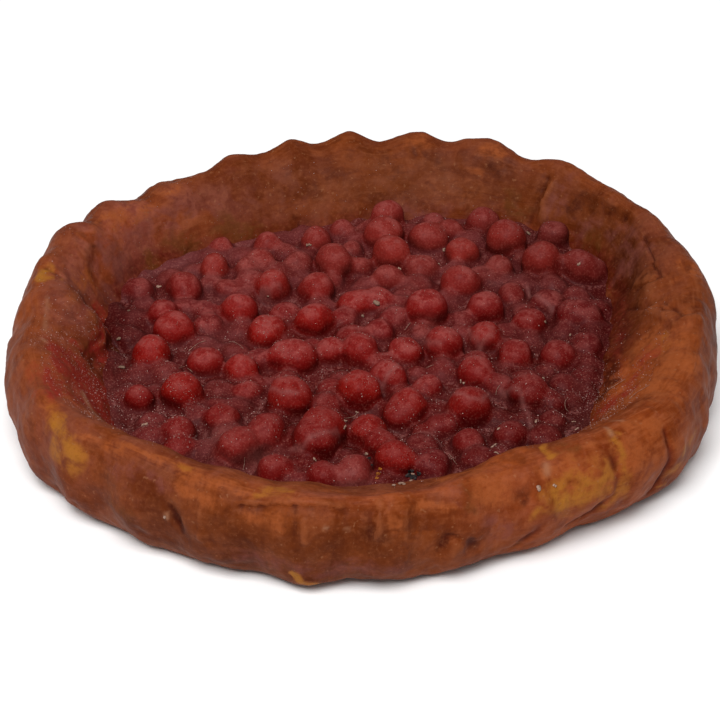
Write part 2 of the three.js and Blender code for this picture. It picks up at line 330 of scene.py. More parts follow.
def case_seen_from_the_camera():
    """Points of the plain case with the pixels that show them and their distance."""
    places = np.meshgrid(np.arange(-180, 180, 0.5), np.linspace(0, 0.84, 170), indexing="ij")
    points = plain_case(*places)[0].reshape(-1, 3)
    from_camera = points - CAMERA
    far = from_camera @ AIM
    columns = IMAGE / 2 + FOCAL * (from_camera @ IMAGE_RIGHT) / far
    rows = IMAGE / 2 - FOCAL * (from_camera @ IMAGE_UP) / far
    return points, columns, rows, far


SEEN_CASE = case_seen_from_the_camera()


def on_case(column, row):
    """The point of the plain case that a pixel shows."""
    points, columns, rows, far = SEEN_CASE
    off = (columns - column) ** 2 + (rows - row) ** 2
    near = off < max(2.5, 1.5 * off.min())
    return points[np.argmin(np.where(near, far, np.inf))]


def strokes(rows, points, wobble):
    """For each point the strongest of some soft strokes: each row is (half width, strength, *pixels)."""
    total = np.zeros(points.shape[:-1])
    for half, strength, *pixels in rows:
        line = np.array([on_case(column, row) for column, row in pairs(pixels)])
        margin = 3 * half + wobble
        near = np.all((points > line.min(0) - margin) & (points < line.max(0) + margin), axis=-1)
        places = points[near]
        places = places + wobble * np.stack([bumps(places, WOBBLE_SIZE, seed) for seed in WOBBLE_SEEDS], -1)
        ragged = half * (1 + layered_bumps((RAGGED,), places))
        value = strength * bell(distance_to_line(places, line), ragged)
        total[near] = np.where(np.abs(value) > np.abs(total[near]), value, total[near])
    return total


def case_form(angle, along):
    """Points of the case, the same without relief, and the relief's height."""
    plain, direction = plain_case(angle, along)
    relief = spots(LUMPS, angle, along) + strokes(CREASES, plain, CREASE_WOBBLE)
    height, size, seed = SOFT_RIDGES
    relief += layered_bumps(CASE_BUMPS, plain) + height * (0.25 - np.abs(bumps(plain, size, seed)))
    depth, size, seed = PORES
    relief -= depth * np.clip(bumps(plain, size, seed) - PORE_START, 0, None)
    relief *= smooth(along, 0, 0.08) * (1 - 0.9 * smooth(along, 0.84, 0.9))
    points = plain + relief[..., None] * round_the_axis(angle, direction[..., 1], -direction[..., 0])
    return np.clip(points, CASE_LOW, CASE_HIGH), plain, relief


# Meshes

def add_object(name, data):
    item = bpy.data.objects.new(name, data)
    bpy.context.scene.collection.objects.link(item)
    return item


def make_mesh(name, points, *faces):
    """A smooth-shaded object from points in millimetres and arrays of faces."""
    mesh = bpy.data.meshes.new(name)
    mesh.from_pydata((points * MM).tolist(), [], sum((group.tolist() for group in faces), []))
    mesh.validate()
    mesh.shade_smooth()
    return add_object(name, mesh)


def ring_quads(ids):
    """Faces between the points of a grid of numbers that closes on itself along its first side."""
    after = np.roll(ids, -1, 0)
    return np.stack([ids[:, :-1], after[:, :-1], after[:, 1:], ids[:, 1:]], -1).reshape(-1, 4)


def give_attributes(piece, attributes):
    """Stores a value or a vector for each point under each name."""
    for key, values in attributes.items():
        kind, field = ("FLOAT", "value") if values.ndim == 1 else ("FLOAT_VECTOR", "vector")
        attribute = piece.data.attributes.new(key, kind, "POINT")
        attribute.data.foreach_set(field, values.astype(np.float32).ravel())


def points_and_normals(piece):
    mesh = piece.data
    places = np.zeros(len(mesh.vertices) * 3, np.float32)
    normals = np.zeros(len(mesh.vertices) * 3, np.float32)
    mesh.vertices.foreach_get("co", places)
    mesh.vertices.foreach_get("normal", normals)
    return places.reshape(-1, 3) / MM, normals.reshape(-1, 3)


def move_points(piece, points):
    piece.data.vertices.foreach_set("co", (points * MM).astype(np.float32).ravel())
    piece.data.update()


def blur(field, times):
    """Averages a ring-shaped grid with its neighbours, over and over."""
    for _ in range(times):
        field = (np.roll(field, 1, 0) + field + np.roll(field, -1, 0)) / 3
        padded = np.pad(field, ((0, 0), (1, 1)), "edge")
        field = (padded[:, :-2] + field + padded[:, 2:]) / 3
    return field


# Paint on the case: half width in millimetres and strength, then the column and row of each pixel
PAINT = {
    "yellow": (
        (1.0, 1.15, 554, 498, 564, 500), (1.5, 0.95, 576, 494, 588, 488, 600, 482),
        (0.45, 0.9, 535, 520, 545, 512, 552, 508), (0.6, 0.75, 624, 460, 624, 480, 622, 497, 612, 506),
        (0.35, 0.9, 615, 444, 620, 452), (0.35, 1.1, 541, 447, 548, 452), (0.6, 0.95, 682, 450, 674, 470),
        (0.35, 0.8, 694, 436, 690, 446), (0.25, 0.9, 663, 487, 670, 483), (0.45, 1.2, 38, 282, 42, 272),
        (0.4, 0.9, 46, 280, 62, 281), (0.95, 1.0, 56, 422, 62, 436, 68, 450, 72, 462),
        (0.6, 0.8, 52, 440, 56, 455), (0.35, 0.7, 178, 467, 188, 470),
        (0.5, 0.7, 256, 489, 272, 488, 288, 489), (0.4, 1.6, 294, 578, 303, 583, 311, 586),
        (0.22, 0.8, 420, 536, 423, 537), (0.25, 0.8, 612, 434, 618, 437), (0.4, 0.8, 660, 330, 664, 348),
    ),
    "orange": (
        (1.6, 1.0, 645, 345, 668, 345, 676, 362), (1.2, 0.9, 640, 370, 660, 395),
        (0.8, 0.9, 628, 425, 655, 428), (1.0, 1.1, 610, 408, 622, 398, 634, 386),
        (0.5, 1.0, 682, 262, 694, 274), (0.45, 0.9, 86, 436, 105, 441, 125, 447, 140, 455, 160, 461),
        (0.5, 0.9, 175, 468, 210, 480, 235, 487, 250, 492), (0.6, 0.5, 33, 387, 42, 388),
        (0.6, 0.5, 27, 353, 30, 370, 36, 384), (0.8, 0.6, 45, 402, 60, 410), (0.8, 0.8, 80, 283, 90, 275),
        (0.6, 0.8, 96, 222, 112, 216, 128, 213), (0.8, 0.7, 120, 222, 145, 208, 175, 192),
        (0.6, 0.8, 180, 490, 205, 495, 212, 505), (0.7, 0.7, 255, 520, 275, 522),
        (0.6, 0.8, 385, 512, 396, 520), (0.6, 0.8, 420, 510, 450, 512), (0.7, 0.8, 445, 470, 475, 468),
        (1.0, 0.9, 486, 490, 500, 492), (0.7, 0.8, 412, 142, 425, 140), (0.8, 0.7, 488, 150, 500, 152),
        (0.6, 0.6, 465, 175, 482, 176), (0.8, 1.0, 552, 472, 565, 468, 585, 475),
        (1.0, 1.0, 628, 455, 648, 460, 645, 474), (0.8, 0.6, 592, 455, 606, 462),
    ),
    "crimson": (
        (1.8, 1.1, 74, 372, 92, 385, 100, 408), (1.3, 1.0, 100, 350, 105, 330),
        (1.0, 0.9, 112, 400, 120, 425), (0.8, 0.8, 52, 375, 56, 392), (0.8, 0.7, 70, 345, 85, 350),
        (1.0, 0.4, 616, 340, 622, 370), (0.8, 0.45, 32, 366, 38, 392),
        (1.4, 0.65, 610, 404, 630, 385, 640, 360), (0.8, 0.5, 602, 405, 614, 399),
        (1.0, 0.8, 108, 320, 104, 310), (1.3, 0.7, 58, 352, 66, 372, 76, 396), (1.0, 0.7, 84, 316, 94, 330),
    ),
    # mauve: mauve paint, and painted shade below the orange streak at the back left and on the right inner
    # wall
    "mauve": (
        (1.3, 0.9, 105, 250, 118, 265), (1.1, 0.8, 137, 235, 145, 225), (0.7, 0.9, 168, 212, 182, 197),
        (0.9, 0.7, 108, 292, 112, 300), (1.2, 0.8, 620, 270, 632, 262), (1.1, 0.7, 612, 232, 640, 250),
        (1.0, 0.7, 560, 190, 552, 215), (0.8, 0.7, 575, 228, 592, 228), (0.5, 0.9, 165, 484, 172, 492),
        (0.8, 0.7, 455, 492, 462, 498), (0.9, 0.7, 490, 520, 505, 530), (0.8, 0.7, 70, 290, 85, 300),
        (1.0, 0.6, 400, 210, 440, 212), (0.9, 0.7, 245, 564, 300, 570, 400, 572),
        (0.9, 0.6, 110, 470, 150, 478),
    ),
    # olive: olive paint, and painted shade at the foot of the wall at the back left
    "olive": (
        (1.0, 0.9, 225, 225, 250, 235), (0.9, 0.8, 175, 240, 195, 250), (0.9, 0.9, 150, 262, 158, 268),
        (0.8, 0.9, 508, 200, 520, 210), (0.7, 0.9, 590, 238, 598, 245), (0.7, 0.7, 560, 451, 574, 453),
        (0.5, 0.8, 468, 488, 472, 510), (0.8, 0.7, 112, 508, 122, 515),
    ),
    # dark: dark paint, and painted shade in pits, in the gap beside the left lump and on the right inner wall
    "dark": (
        (0.35, 1.2, 167, 508, 171, 516, 176, 527), (0.45, 1.2, 294, 227, 296, 231),
        (0.3, 0.8, 440, 546, 446, 540), (0.35, 0.9, 466, 544, 474, 549), (0.5, 0.8, 518, 492, 522, 500),
        (0.45, 0.8, 604, 213, 622, 218), (0.6, 0.8, 568, 212, 574, 206), (0.7, 0.6, 575, 200, 598, 205),
        (0.5, 0.7, 488, 168, 500, 175), (0.4, 0.8, 402, 226, 404, 230), (0.6, 0.8, 130, 300, 135, 305),
        (0.45, 0.9, 110, 338, 106, 345), (0.7, 0.6, 190, 255, 198, 262), (0.35, 0.7, 86, 256, 91, 247),
        (0.4, 0.5, 293, 508, 294, 540), (0.4, 0.5, 369, 512, 368, 540), (0.4, 0.7, 600, 270, 604, 290),
        (0.6, 0.7, 612, 260, 616, 272), (0.9, 0.9, 119, 328, 121, 348, 117, 368),
        (0.9, 0.75, 602, 345, 611, 375, 605, 396), (0.9, 0.5, 622, 322, 628, 345, 630, 365),
    ),
    "pale": (
        (0.14, 1.0, 84, 391, 88, 400, 94, 408, 101, 416), (0.1, 0.7, 42, 337, 48, 343),
        (0.14, 0.9, 604, 426, 611, 434), (0.1, 0.8, 602, 418, 612, 419, 622, 420),
        (0.18, 0.8, 547, 463, 548, 474), (0.14, 0.6, 78, 308, 85, 304, 92, 306, 98, 313),
        (0.14, 1.0, 165, 514, 166, 520), (0.12, 0.5, 48, 300, 46, 330), (0.1, 0.9, 326, 528, 327, 529),
        (0.1, 0.9, 347, 530, 348, 531),
    ),
    "rust": (
        (0.2, 1.0, 604, 450, 612, 459, 617, 472, 616, 488),
        (0.26, 1.2, 664, 432, 668, 448, 668, 465, 663, 481, 652, 495),
        (0.24, 1.0, 603, 507, 594, 515, 585, 523, 572, 530), (0.24, 1.0, 540, 533, 533, 538, 526, 545),
        (0.14, 0.9, 545, 492, 550, 500, 548, 510, 556, 520),
        (0.14, 0.8, 566, 482, 576, 480, 586, 486, 598, 484), (0.14, 0.8, 606, 478, 603, 490, 606, 498),
        (0.14, 0.8, 640, 478, 646, 470, 648, 458), (0.16, 0.8, 628, 480, 632, 495, 626, 505),
    ),
}

# How much brighter or darker the paint is by region, partly the paint's own tone and partly painted light and
# shade, such as painted shade on the right inner wall and painted light on the front crest: angle, place,
# half width in degrees, half length, amount
PAINT_TONE_AND_LIGHT = (
    (-95, 0.22, 28, 0.2, -0.32), (-60, 0.28, 18, 0.2, 0.4), (-120, 0.28, 16, 0.2, -0.2),
    (-25, 0.4, 30, 0.25, 0.3), (-170, 0.4, 35, 0.25, 0.14), (-95, 0.52, 45, 0.07, 0.28),
    (24, 0.72, 24, 0.12, -0.32), (0, 0.76, 20, 0.09, -0.42), (68, 0.68, 40, 0.15, -0.22),
    (-14, 0.74, 9, 0.08, 0.3), (-24, 0.72, 14, 0.09, 0.75), (150, 0.6, 14, 0.07, 0.5),
    (-91, 0.45, 18, 0.08, 0.4), (95, 0.66, 25, 0.15, -0.08), (-40, 0.5, 12, 0.08, 0.28),
    (-66, 0.58, 6, 0.05, 0.25), (-55, 0.53, 5, 0.04, -0.15), (-152, 0.62, 12, 0.06, 0.12),
    (-60, 0.5, 18, 0.08, 0.04), (-155, 0.68, 20, 0.12, 0.35), (152, 0.7, 22, 0.1, 0.6),
    (172, 0.66, 14, 0.08, 0.2), (-8, 0.38, 22, 0.16, -0.34), (172, 0.5, 18, 0.08, 0.14),
)

# Glaze that has run up the wall, with painted shade where the inner wall meets the glaze on the right: angle,
# place, half width in degrees, half length, strength
STAIN_AND_SHADE = (
    (180, 0.78, 24, 0.09, 0.9), (-160, 0.74, 14, 0.1, 0.3), (150, 0.79, 14, 0.06, 0.6),
    (-3, 0.77, 16, 0.08, 0.7), (22, 0.79, 20, 0.06, 0.75),
)

# Dusty pink film: angle, place, half width in degrees, half length, strength
HAZE = (
    (140, 0.66, 24, 0.2, 0.7), (172, 0.66, 20, 0.2, 0.5), (-150, 0.62, 20, 0.2, 0.5),
    (-145, 0.35, 22, 0.2, 0.45), (60, 0.55, 25, 0.2, 0.4), (20, 0.6, 20, 0.2, 0.45),
    (-60, 0.35, 18, 0.15, 0.25), (-98, 0.52, 34, 0.09, 0.55), (-100, 0.68, 50, 0.07, 0.4),
    (-5, 0.45, 24, 0.2, 0.15), (115, 0.68, 20, 0.12, 0.5), (150, 0.6, 16, 0.1, 0.4),
    (180, 0.64, 10, 0.12, 0.7), (152, 0.7, 12, 0.1, 0.8),
)

# In front the brush marks run up the wall: the middle, and how far from it this fades and ends, in degrees
UPRIGHT_STROKES = (-98, 30, 55)
CAVITY_BLUR = 10  # rounds of averaging that show the case's cavities


def pastry_case():
    angles = np.arange(AROUND) * 360 / AROUND
    shown = np.linspace(0, SHOWN_TO, ALONG_SHOWN)
    places = np.concatenate([shown, np.linspace(SHOWN_TO, 1, ALONG_HIDDEN + 1)[1:]])
    angle, along = np.meshgrid(angles, places, indexing="ij")
    points, plain, relief = case_form(angle, along)
    foot = points[..., 0].size
    ids = np.arange(foot).reshape(angle.shape)
    after = np.roll(ids, -1, 0)
    under = np.stack([np.full(AROUND, foot), after[:, 0], ids[:, 0]], -1)
    inside = np.stack([np.full(AROUND, foot + 1), ids[:, -1], after[:, -1]], -1)
    everything = np.concatenate([points.reshape(-1, 3), [[0, 0, 0], [0, 0, FLOOR_HEIGHT]]])
    piece = make_mesh("painted_case", everything, ring_quads(ids), under, inside)

    middle, fade, end = UPRIGHT_STROKES
    outer = smooth(along, 0.08, 0.16) * (1 - smooth(along, 0.36, 0.44))
    values = {
        "upright": 0.5 * outer * (1 - smooth(np.abs(turn(middle, angle)), fade, end)),
        # glaze stain at the inner wall's foot, with painted shade on the right
        "stain_and_shade": np.clip(0.8 * smooth(along, 0.72, 0.83) + spots(STAIN_AND_SHADE, angle, along), 0, 1),
        # the paint's tone by region, with painted light and shade
        "tone": 1 + spots(PAINT_TONE_AND_LIGHT, angle, along),
        "cavity": relief - blur(relief, CAVITY_BLUR),
        "haze": np.clip(spots(HAZE, angle, along), 0, 1),
    }
    for name, rows in PAINT.items():
        values[name] = strokes(rows, plain, WOBBLE.get(name, PATCH_WOBBLE))
    attributes = {name: np.append(value.ravel(), [0, 0]) for name, value in values.items()}
    brush = round_the_axis(angle, RIM_RADIUS, SECTION_LENGTH * along).reshape(-1, 3)
    attributes["brush"] = np.concatenate([brush, np.zeros((2, 3))])
    give_attributes(piece, attributes)
    return piece


# Berries seen in the photograph: column, row and radius in its pixels, how high the berry's centre lies above
# the glaze, as a share of its radius, and how dull its red is where that isn't PLAIN_DULL
SEEN_BERRIES = (
    (182, 287, 17, 0.2, 0.7), (214, 266, 13, 0.4, 0.15), (238, 308, 16.5, 0.45, 0.3),
    (226, 288, 10, 0.1, 0.9), (272, 284, 15.5, 0.5, 0.2), (162, 314, 14, 0.2, 0.6), (173, 328, 18, 0.3, 0.25),
    (150, 352, 18, 0.35, 0.1), (206, 325, 15, -0.05, 0.9), (204, 360, 16, 0.25), (240, 369, 15, 0.25, 0.2),
    (265, 331, 17, 0.3, 0.2), (138, 289, 13, 0.1, 1.0), (138, 398, 12.5, 0.5), (181, 390, 19, 0.5, 0.05),
    (177, 431, 16, 0.25, 0.55), (178, 446, 14, 0.15, 0.6), (221, 416, 15, 0.25), (237, 446, 20, 0.35, 0.2),
    (246, 391, 13, 0.1, 0.6), (265, 431, 19, 0.35), (274, 468, 17, 0.2), (314, 286, 15.5, 0.45),
    (313, 319, 17, 0.5, 0.2), (286, 357, 16.5, 0.35), (297, 357, 16, 0.35), (329, 350, 13.5, 0.25),
    (359, 349, 17, 0.25), (354, 304, 16, 0.1, 0.3), (375, 301, 15, 0.15, 0.6), (378, 329, 14, 0.0, 0.8),
    (425, 308, 18, 0.5), (404, 350, 16, 0.2), (443, 343, 17.5, 0.45), (387, 278, 14, 0.25, 0.7),
    (420, 332, 12, -0.15, 0.8), (288, 396, 20, 0.5, 0.2), (322, 428, 20, 0.55, 0.05), (312, 440, 20, 0.5),
    (357, 389, 19.5, 0.55, 0.05), (385, 376, 17, 0.4), (407, 404, 16.5, 0.5, 0.15), (399, 414, 15, 0.3),
    (426, 386, 14, 0.15, 0.7), (366, 429, 17, 0.5, 0.1), (380, 445, 15.5, 0.45), (394, 459, 18, 0.5, 0.1),
    (430, 464, 18, 0.05, 1.0), (322, 475, 16, 0.25, 0.6), (351, 472, 17, 0.3), (459, 281, 17.5, 0.3),
    (484, 307, 16, 0.35, 0.6), (484, 336, 15, 0.35, 0.15), (509, 293, 13, 0.1, 0.75),
    (497, 266, 13, 0.35, 0.6), (528, 321, 15, 0.25), (546, 302, 15, 0.0, 0.9), (572, 314, 16, 0.25, 0.8),
    (586, 316, 15, 0.15, 0.8), (584, 345, 15, 0.15, 0.9), (556, 355, 16, 0.25, 0.6), (514, 356, 17, 0.2),
    (474, 372, 17, 0.3), (467, 405, 20, 0.5, 0.2), (526, 392, 18, 0.35), (550, 402, 13, 0.1, 0.85),
    (551, 420, 13, 0.05, 0.8), (509, 433, 16, 0.2, 0.7), (467, 442, 16, 0.0, 0.6), (440, 425, 14, 0.05, 0.8),
    (562, 385, 13, -0.1, 1.0), (220, 245, 9, 0.3), (267, 243, 13, 0.2), (260, 260, 13, 0.15, 0.6),
    (315, 238, 14, 0.3), (333, 259, 17, 0.45), (340, 229, 11, 0.1, 0.7), (296, 262, 13, 0.0, 0.9),
    (350, 249, 10, 0.0, 0.85), (386, 216, 14, 0.6), (383, 232, 17, 0.45, 0.25), (389, 252, 17, 0.55, 0.1),
    (423, 237, 14, 0.3), (431, 236, 14, 0.3), (447, 229, 12, 0.15, 0.7), (482, 221, 14, 0.4, 0.6),
    (460, 250, 14.5, 0.4, 0.05), (505, 237, 17.5, 0.75, 0), (420, 268, 16, 0.0, 0.7),
    (541, 260, 17.5, 0.7, 0.05), (552, 234, 14, 0.35, 0.8), (577, 265, 17, 0.5), (590, 268, 14, 0.35, 0.8),
    (358, 265, 12, 0.1, 0.7), (246, 268, 12, 0.05, 0.8),
)
LOW_BERRY_RADIUS = (0.65, 1.0)
LOW_BERRY_LIFT = (-0.5, -0.1)
LOW_BERRY_TRIES = 2500
PLAIN_DULL = 0.4
LOW_BERRY_DULL = (0.6, 1.0)
SEEN_AT = (1.5, 2.5)  # from a berry's pixel to the middle of what is seen of it
BLEND = 5.0  # how sharply berries and glaze meet: larger is sharper
BLEND_REACH = 0.7  # how far outside a berry it still shapes the surface
GROWN = 1.12  # the glaze hides each berry's widest part, so it is this much larger than it looks


def inner_wall_radius(angle, height):
    """The radius of the case's inner wall at a height."""
    share = 1 - 0.25 * (height - (GLAZE_HEIGHT - 0.1)) / (0.59 * CASE_HEIGHT - GLAZE_HEIGHT + 0.1)
    return crest_radius(angle) - wall_thickness(angle) * share


def to_wall(x, y, z):
    """How far a place is from the case's inner wall at its height."""
    return inner_wall_radius(np.degrees(np.arctan2(y, x)), z) - np.hypot(x, y)


def glaze_level(x, y):
    swell = np.sin(0.45 * x + 1) * np.cos(0.38 * y) + 0.6 * np.sin(0.7 * y - 0.3 * x)
    inward = 1 - (x * x + y * y) / RIM_RADIUS**2
    return GLAZE_HEIGHT + GLAZE_SWELL * swell * inward


def seen_berry(column, row, radius, lift, dull=PLAIN_DULL):
    """A berry whose upper part the camera sees at a pixel, resting at its height in the glaze."""
    height = GLAZE_HEIGHT + 0.4
    for _ in range(3):
        place = on_level(column + SEEN_AT[0], row + SEEN_AT[1] + (0.26 - 0.34 * lift) * radius, height)
        scale = FOCAL / np.dot(place - CAMERA, AIM)
        size = GROWN * radius / scale
        height = glaze_level(place[0], place[1]) + lift * size
    return place[0], place[1], size, lift, dull


def all_berries():
    """Every berry as (x, y, radius, lift, dullness): those seen first, then low ones that fill the gaps."""
    placed = [seen_berry(*row) for row in SEEN_BERRIES]
    for i in range(LOW_BERRY_TRIES):
        angle = 360 * rng.random()
        reach = RIM_RADIUS * math.sqrt(rng.random())
        low, high = LOW_BERRY_RADIUS
        size = high + (low - high) * i / LOW_BERRY_TRIES
        x = reach * math.cos(math.radians(angle))
        y = reach * math.sin(math.radians(angle))
        in_case = reach + 0.7 * size < inner_wall_radius(angle, GLAZE_HEIGHT)
        if in_case and all(math.hypot(x - b[0], y - b[1]) > 0.76 * (size + b[2]) for b in placed):
            placed.append((x, y, size, rng.uniform(*LOW_BERRY_LIFT), rng.uniform(*LOW_BERRY_DULL)))
    return placed


def berry_distance(points, berry):
    """About how far points lie outside a berry, which is round or slightly boxy."""
    local = points - berry.centre
    c, s = math.cos(berry.heading), math.sin(berry.heading)
    x = local[..., 0] * c + local[..., 1] * s
    y = local[..., 1] * c - local[..., 0] * s
    share = np.abs(np.stack([x, y, local[..., 2]], -1)) / berry.radii
    near = np.maximum((share**berry.boxy).sum(-1) ** (1 / berry.boxy), 1e-6)
    slope = np.linalg.norm(share ** (berry.boxy - 1) / berry.radii, axis=-1) / near ** (berry.boxy - 1)
    return (near - 1) / np.maximum(slope, 1e-6)


CELL = 0.108
LOWEST = 1.95  # where the filling's skirt ends, out of sight
HIGHEST = 4.95
REACH = 17.6


def surface_net(field, low, cell):
    """Where a grid of values is 0: points, and four-sided faces that point to positive values."""
    inside = field < 0
    count = [n - 1 for n in field.shape]
    corners = [(i, j, k) for i in (0, 1) for j in (0, 1) for k in (0, 1)]
    windows = [tuple(slice(a, a + n) for a, n in zip(corner, count)) for corner in corners]
    total = sum(inside[window].astype(int) for window in windows)
    cells = np.argwhere((total > 0) & (total < 8))
    ids = np.full(count, -1)
    ids[tuple(cells.T)] = np.arange(len(cells))
    places = np.zeros((len(cells), 3))
    crossings = np.zeros(len(cells))
    for start in corners:
        for axis in range(3):
            if start[axis] == 1:
                continue
            end = list(start)
            end[axis] = 1
            a = field[tuple((cells + start).T)]
            b = field[tuple((cells + end).T)]
            crossed = (a < 0) != (b < 0)
            places += crossed[:, None] * np.array(start)
            places[:, axis] += np.where(crossed, a / np.where(crossed, a - b, 1), 0)
            crossings += crossed
    points = low + cell * (cells + places / crossings[:, None])
    quads = []
    for axis in range(3):
        order = (axis, (axis + 1) % 3, (axis + 2) % 3)
        here = np.moveaxis(inside, order, (0, 1, 2))
        grid = np.moveaxis(ids, order, (0, 1, 2))
        outward = here[:-1, 1:-1, 1:-1]
        edge = outward != here[1:, 1:-1, 1:-1]
        i, j, k = np.nonzero(edge)
        loop = np.stack([grid[i, j, k], grid[i, j + 1, k], grid[i, j + 1, k + 1], grid[i, j, k + 1]], -1)
        quads.append(np.where(outward[edge][:, None], loop, loop[:, ::-1]))
    return points, np.concatenate(quads)


# Folds of dried glaze: the column and row of each pixel
FOLDS = (
    (437, 405, 447, 414, 458, 422, 470, 426, 481, 425, 487, 417, 486, 400),
    (500, 401, 510, 405, 519, 410, 526, 420, 531, 432), (527, 296, 532, 305, 541, 313, 552, 318),
    (468, 338, 472, 347, 480, 352, 492, 349), (374, 400, 384, 396, 394, 390, 402, 382),
    (261, 302, 270, 304, 280, 302), (410, 443, 420, 440, 432, 441, 441, 447), (423, 352, 430, 359, 440, 362),
    (292, 460, 302, 465, 318, 461, 332, 457, 338, 452), (262, 404, 271, 412, 282, 418, 298, 418),
)
CLIMB = 0.2  # how far the glaze climbs the wall, in millimetres
CLIMB_LEFT = 0.35  # and how much further at the left
CLIMB_REACH = 0.7
CLIMB_BUMPS = ((0.35, 1.1, 7),)
FOLD_HEIGHT = 0.2
FOLD_WIDTH = 0.15
FOLD_PAINT_WIDTH = 0.11

# Hollows in the glaze: column, row, and the half width and depth in millimetres
HOLLOWS = (
    (347, 314, 0.4, 0.6), (404, 229, 0.35, 0.35), (373, 442, 0.3, 0.4), (386, 406, 0.35, 0.4),
    (598, 276, 0.6, 0.5), (250, 300, 0.4, 0.3), (119, 350, 0.7, 0.6), (126, 306, 0.7, 0.5),
    (340, 404, 0.3, 0.2), (600, 392, 0.6, 0.4),
)

# Dusty spots on the berries: column, row, the half width in millimetres, and how dusty
DUSTY = (
    (240, 450, 1.1, 0.5), (258, 458, 0.9, 0.45), (222, 438, 1.0, 0.35), (352, 477, 0.8, 0.7),
    (505, 230, 0.8, 0.3), (430, 330, 0.8, 0.3),
)
# The gaps and broad hollows that these rounds find are painted darker, as painted shade
GAP_BLUR = 14  # rounds of averaging that show the gaps between berries
HILL_BLUR = 70  # and those that show the broad rise and fall


def fold_lines():
    return [np.array([on_level(*pixel, GLAZE_HEIGHT)[:2] for pixel in pairs(line)]) for line in FOLDS]


@dataclass
class Berry:
    centre: np.ndarray
    radii: np.ndarray
    heading: float
    boxy: float  # 2 is an oval; more is squarer
    bare: float  # how little glaze covers it, from 0 to 1
    dull: float  # from a bright red, 0, to a dull wine red, 1


def berry_shapes(placed):
    shapes = []
    for x, y, size, lift, dull in placed:
        stretch = 1 + 0.07 * rng.uniform(-1, 1)
        radii = size * np.array([0.97 * stretch, 0.97 / stretch, rng.uniform(1.05, 1.18)])
        centre = np.array([x, y, glaze_level(x, y) + lift * size])
        bare = 0.3 + 0.7 * smooth(lift, LOW_BERRY_LIFT[0], 0.3)
        shapes.append(Berry(centre, radii, rng.uniform(0, math.pi), rng.uniform(2, 2.5), bare, dull))
    return shapes


def bumpy_glaze(x, y):
    """The height of the glaze with its folds, hollows and bumps, and where it climbs the wall."""
    flat = np.stack([x, y, np.zeros_like(x)], -1)
    level = glaze_level(x, y) + layered_bumps(GLAZE_BUMPS, flat)
    for line in fold_lines():
        level += FOLD_HEIGHT * bell(distance_to_line(flat[..., :2], line), FOLD_WIDTH)
    for column, row, radius, depth in HOLLOWS:
        away = np.linalg.norm(flat[..., :2] - on_level(column, row, GLAZE_HEIGHT)[:2], axis=-1)
        level -= depth * bell(away, radius)
    left = bell(turn(180, np.degrees(np.arctan2(y, x))), 50)
    climb = CLIMB + layered_bumps(CLIMB_BUMPS, flat) + CLIMB_LEFT * left
    return level + climb * np.exp(-np.clip(to_wall(x, y, GLAZE_HEIGHT), 0, None) / CLIMB_REACH)


def filling():
    axis = np.arange(-REACH, REACH, CELL)
    rise = np.arange(LOWEST - CELL, HIGHEST, CELL)
    x, y, z = np.meshgrid(axis, axis, rise, indexing="ij")
    near = np.exp(-BLEND * (z - bumpy_glaze(x[:, :, 0], y[:, :, 0])[:, :, None]))
    shapes = berry_shapes(all_berries())
    for berry in shapes:
        reach = berry.radii.max() + BLEND_REACH
        spans = zip((axis, axis, rise), berry.centre)
        box = tuple(slice(*np.searchsorted(a, [middle - reach, middle + reach])) for a, middle in spans)
        points = np.stack([x[box], y[box], z[box]], -1)
        near[box] += np.exp(-BLEND * berry_distance(points, berry))
    outside = -to_wall(x[:, :, :1], y[:, :, :1], z) - INTO_WALL
    field = np.maximum(-np.log(near) / BLEND, outside)
    points, quads = surface_net(field, np.array([axis[0], axis[0], rise[0]]), CELL)

    ways = np.stack([quads, np.roll(quads, -1, 1)], -1).reshape(-1, 2)
    _, first, times = np.unique(np.sort(ways, 1), axis=0, return_index=True, return_counts=True)
    rim = ways[first[times == 1]]
    under = len(points)
    triangles = np.stack([rim[:, 1], rim[:, 0], np.full(len(rim), under)], -1)
    points = np.concatenate([points, [[0, 0, LOWEST - 2 * CELL]]])
    piece = make_mesh("glazed_berries", points, quads, triangles)
    points, normals = points_and_normals(piece)
    weight, _ = berry_weight(points, shapes)
    uneven = (0.15 + 0.85 * weight) * layered_bumps(FILLING_BUMPS, points)
    move_points(piece, points + uneven[:, None] * normals)
    points, normals = points_and_normals(piece)
    give_attributes(piece, paint_of_filling(points, normals, shapes))
    return piece


def berry_shares(points, shapes):
    """For each berry, the points near it, how strongly it shapes them and the berry itself."""
    for berry in shapes:
        close = np.where(np.linalg.norm(points - berry.centre, axis=1) < berry.radii.max() + 0.6)[0]
        yield close, np.exp(-BLEND * berry_distance(points[close], berry)), berry


def berry_weight(points, shapes):
    """How much of the surface at each point is berry, and how much bare berry, from 0 to 1."""
    berry = np.zeros(len(points))
    red = np.zeros(len(points))
    for close, share, shape in berry_shares(points, shapes):
        berry[close] += share
        red[close] += share * shape.bare
    glaze = np.exp(-BLEND * (points[:, 2] - glaze_level(points[:, 0], points[:, 1])))
    return berry / (berry + glaze), red / (berry + glaze)


def above_surroundings(points, times):
    """How far each point stands above the surface round it, which is averaged over and over."""
    count = int(2 * REACH / CELL) + 2
    columns, rows = np.clip(((points[:, :2] + REACH) / CELL).astype(int), 0, count - 1).T
    heights = np.full((count, count), GLAZE_HEIGHT)
    np.maximum.at(heights, (columns, rows), points[:, 2])
    return points[:, 2] - blur(heights, times)[columns, rows]


def dusty_spots(points):
    """How much pale dust lies on each point, from 0 to 1."""
    total = np.zeros(len(points))
    for column, row, radius, strength in DUSTY:
        away = np.linalg.norm(points - on_level(column, row, GLAZE_HEIGHT + 0.6), axis=1)
        total = np.maximum(total, strength * bell(away, radius))
    return total


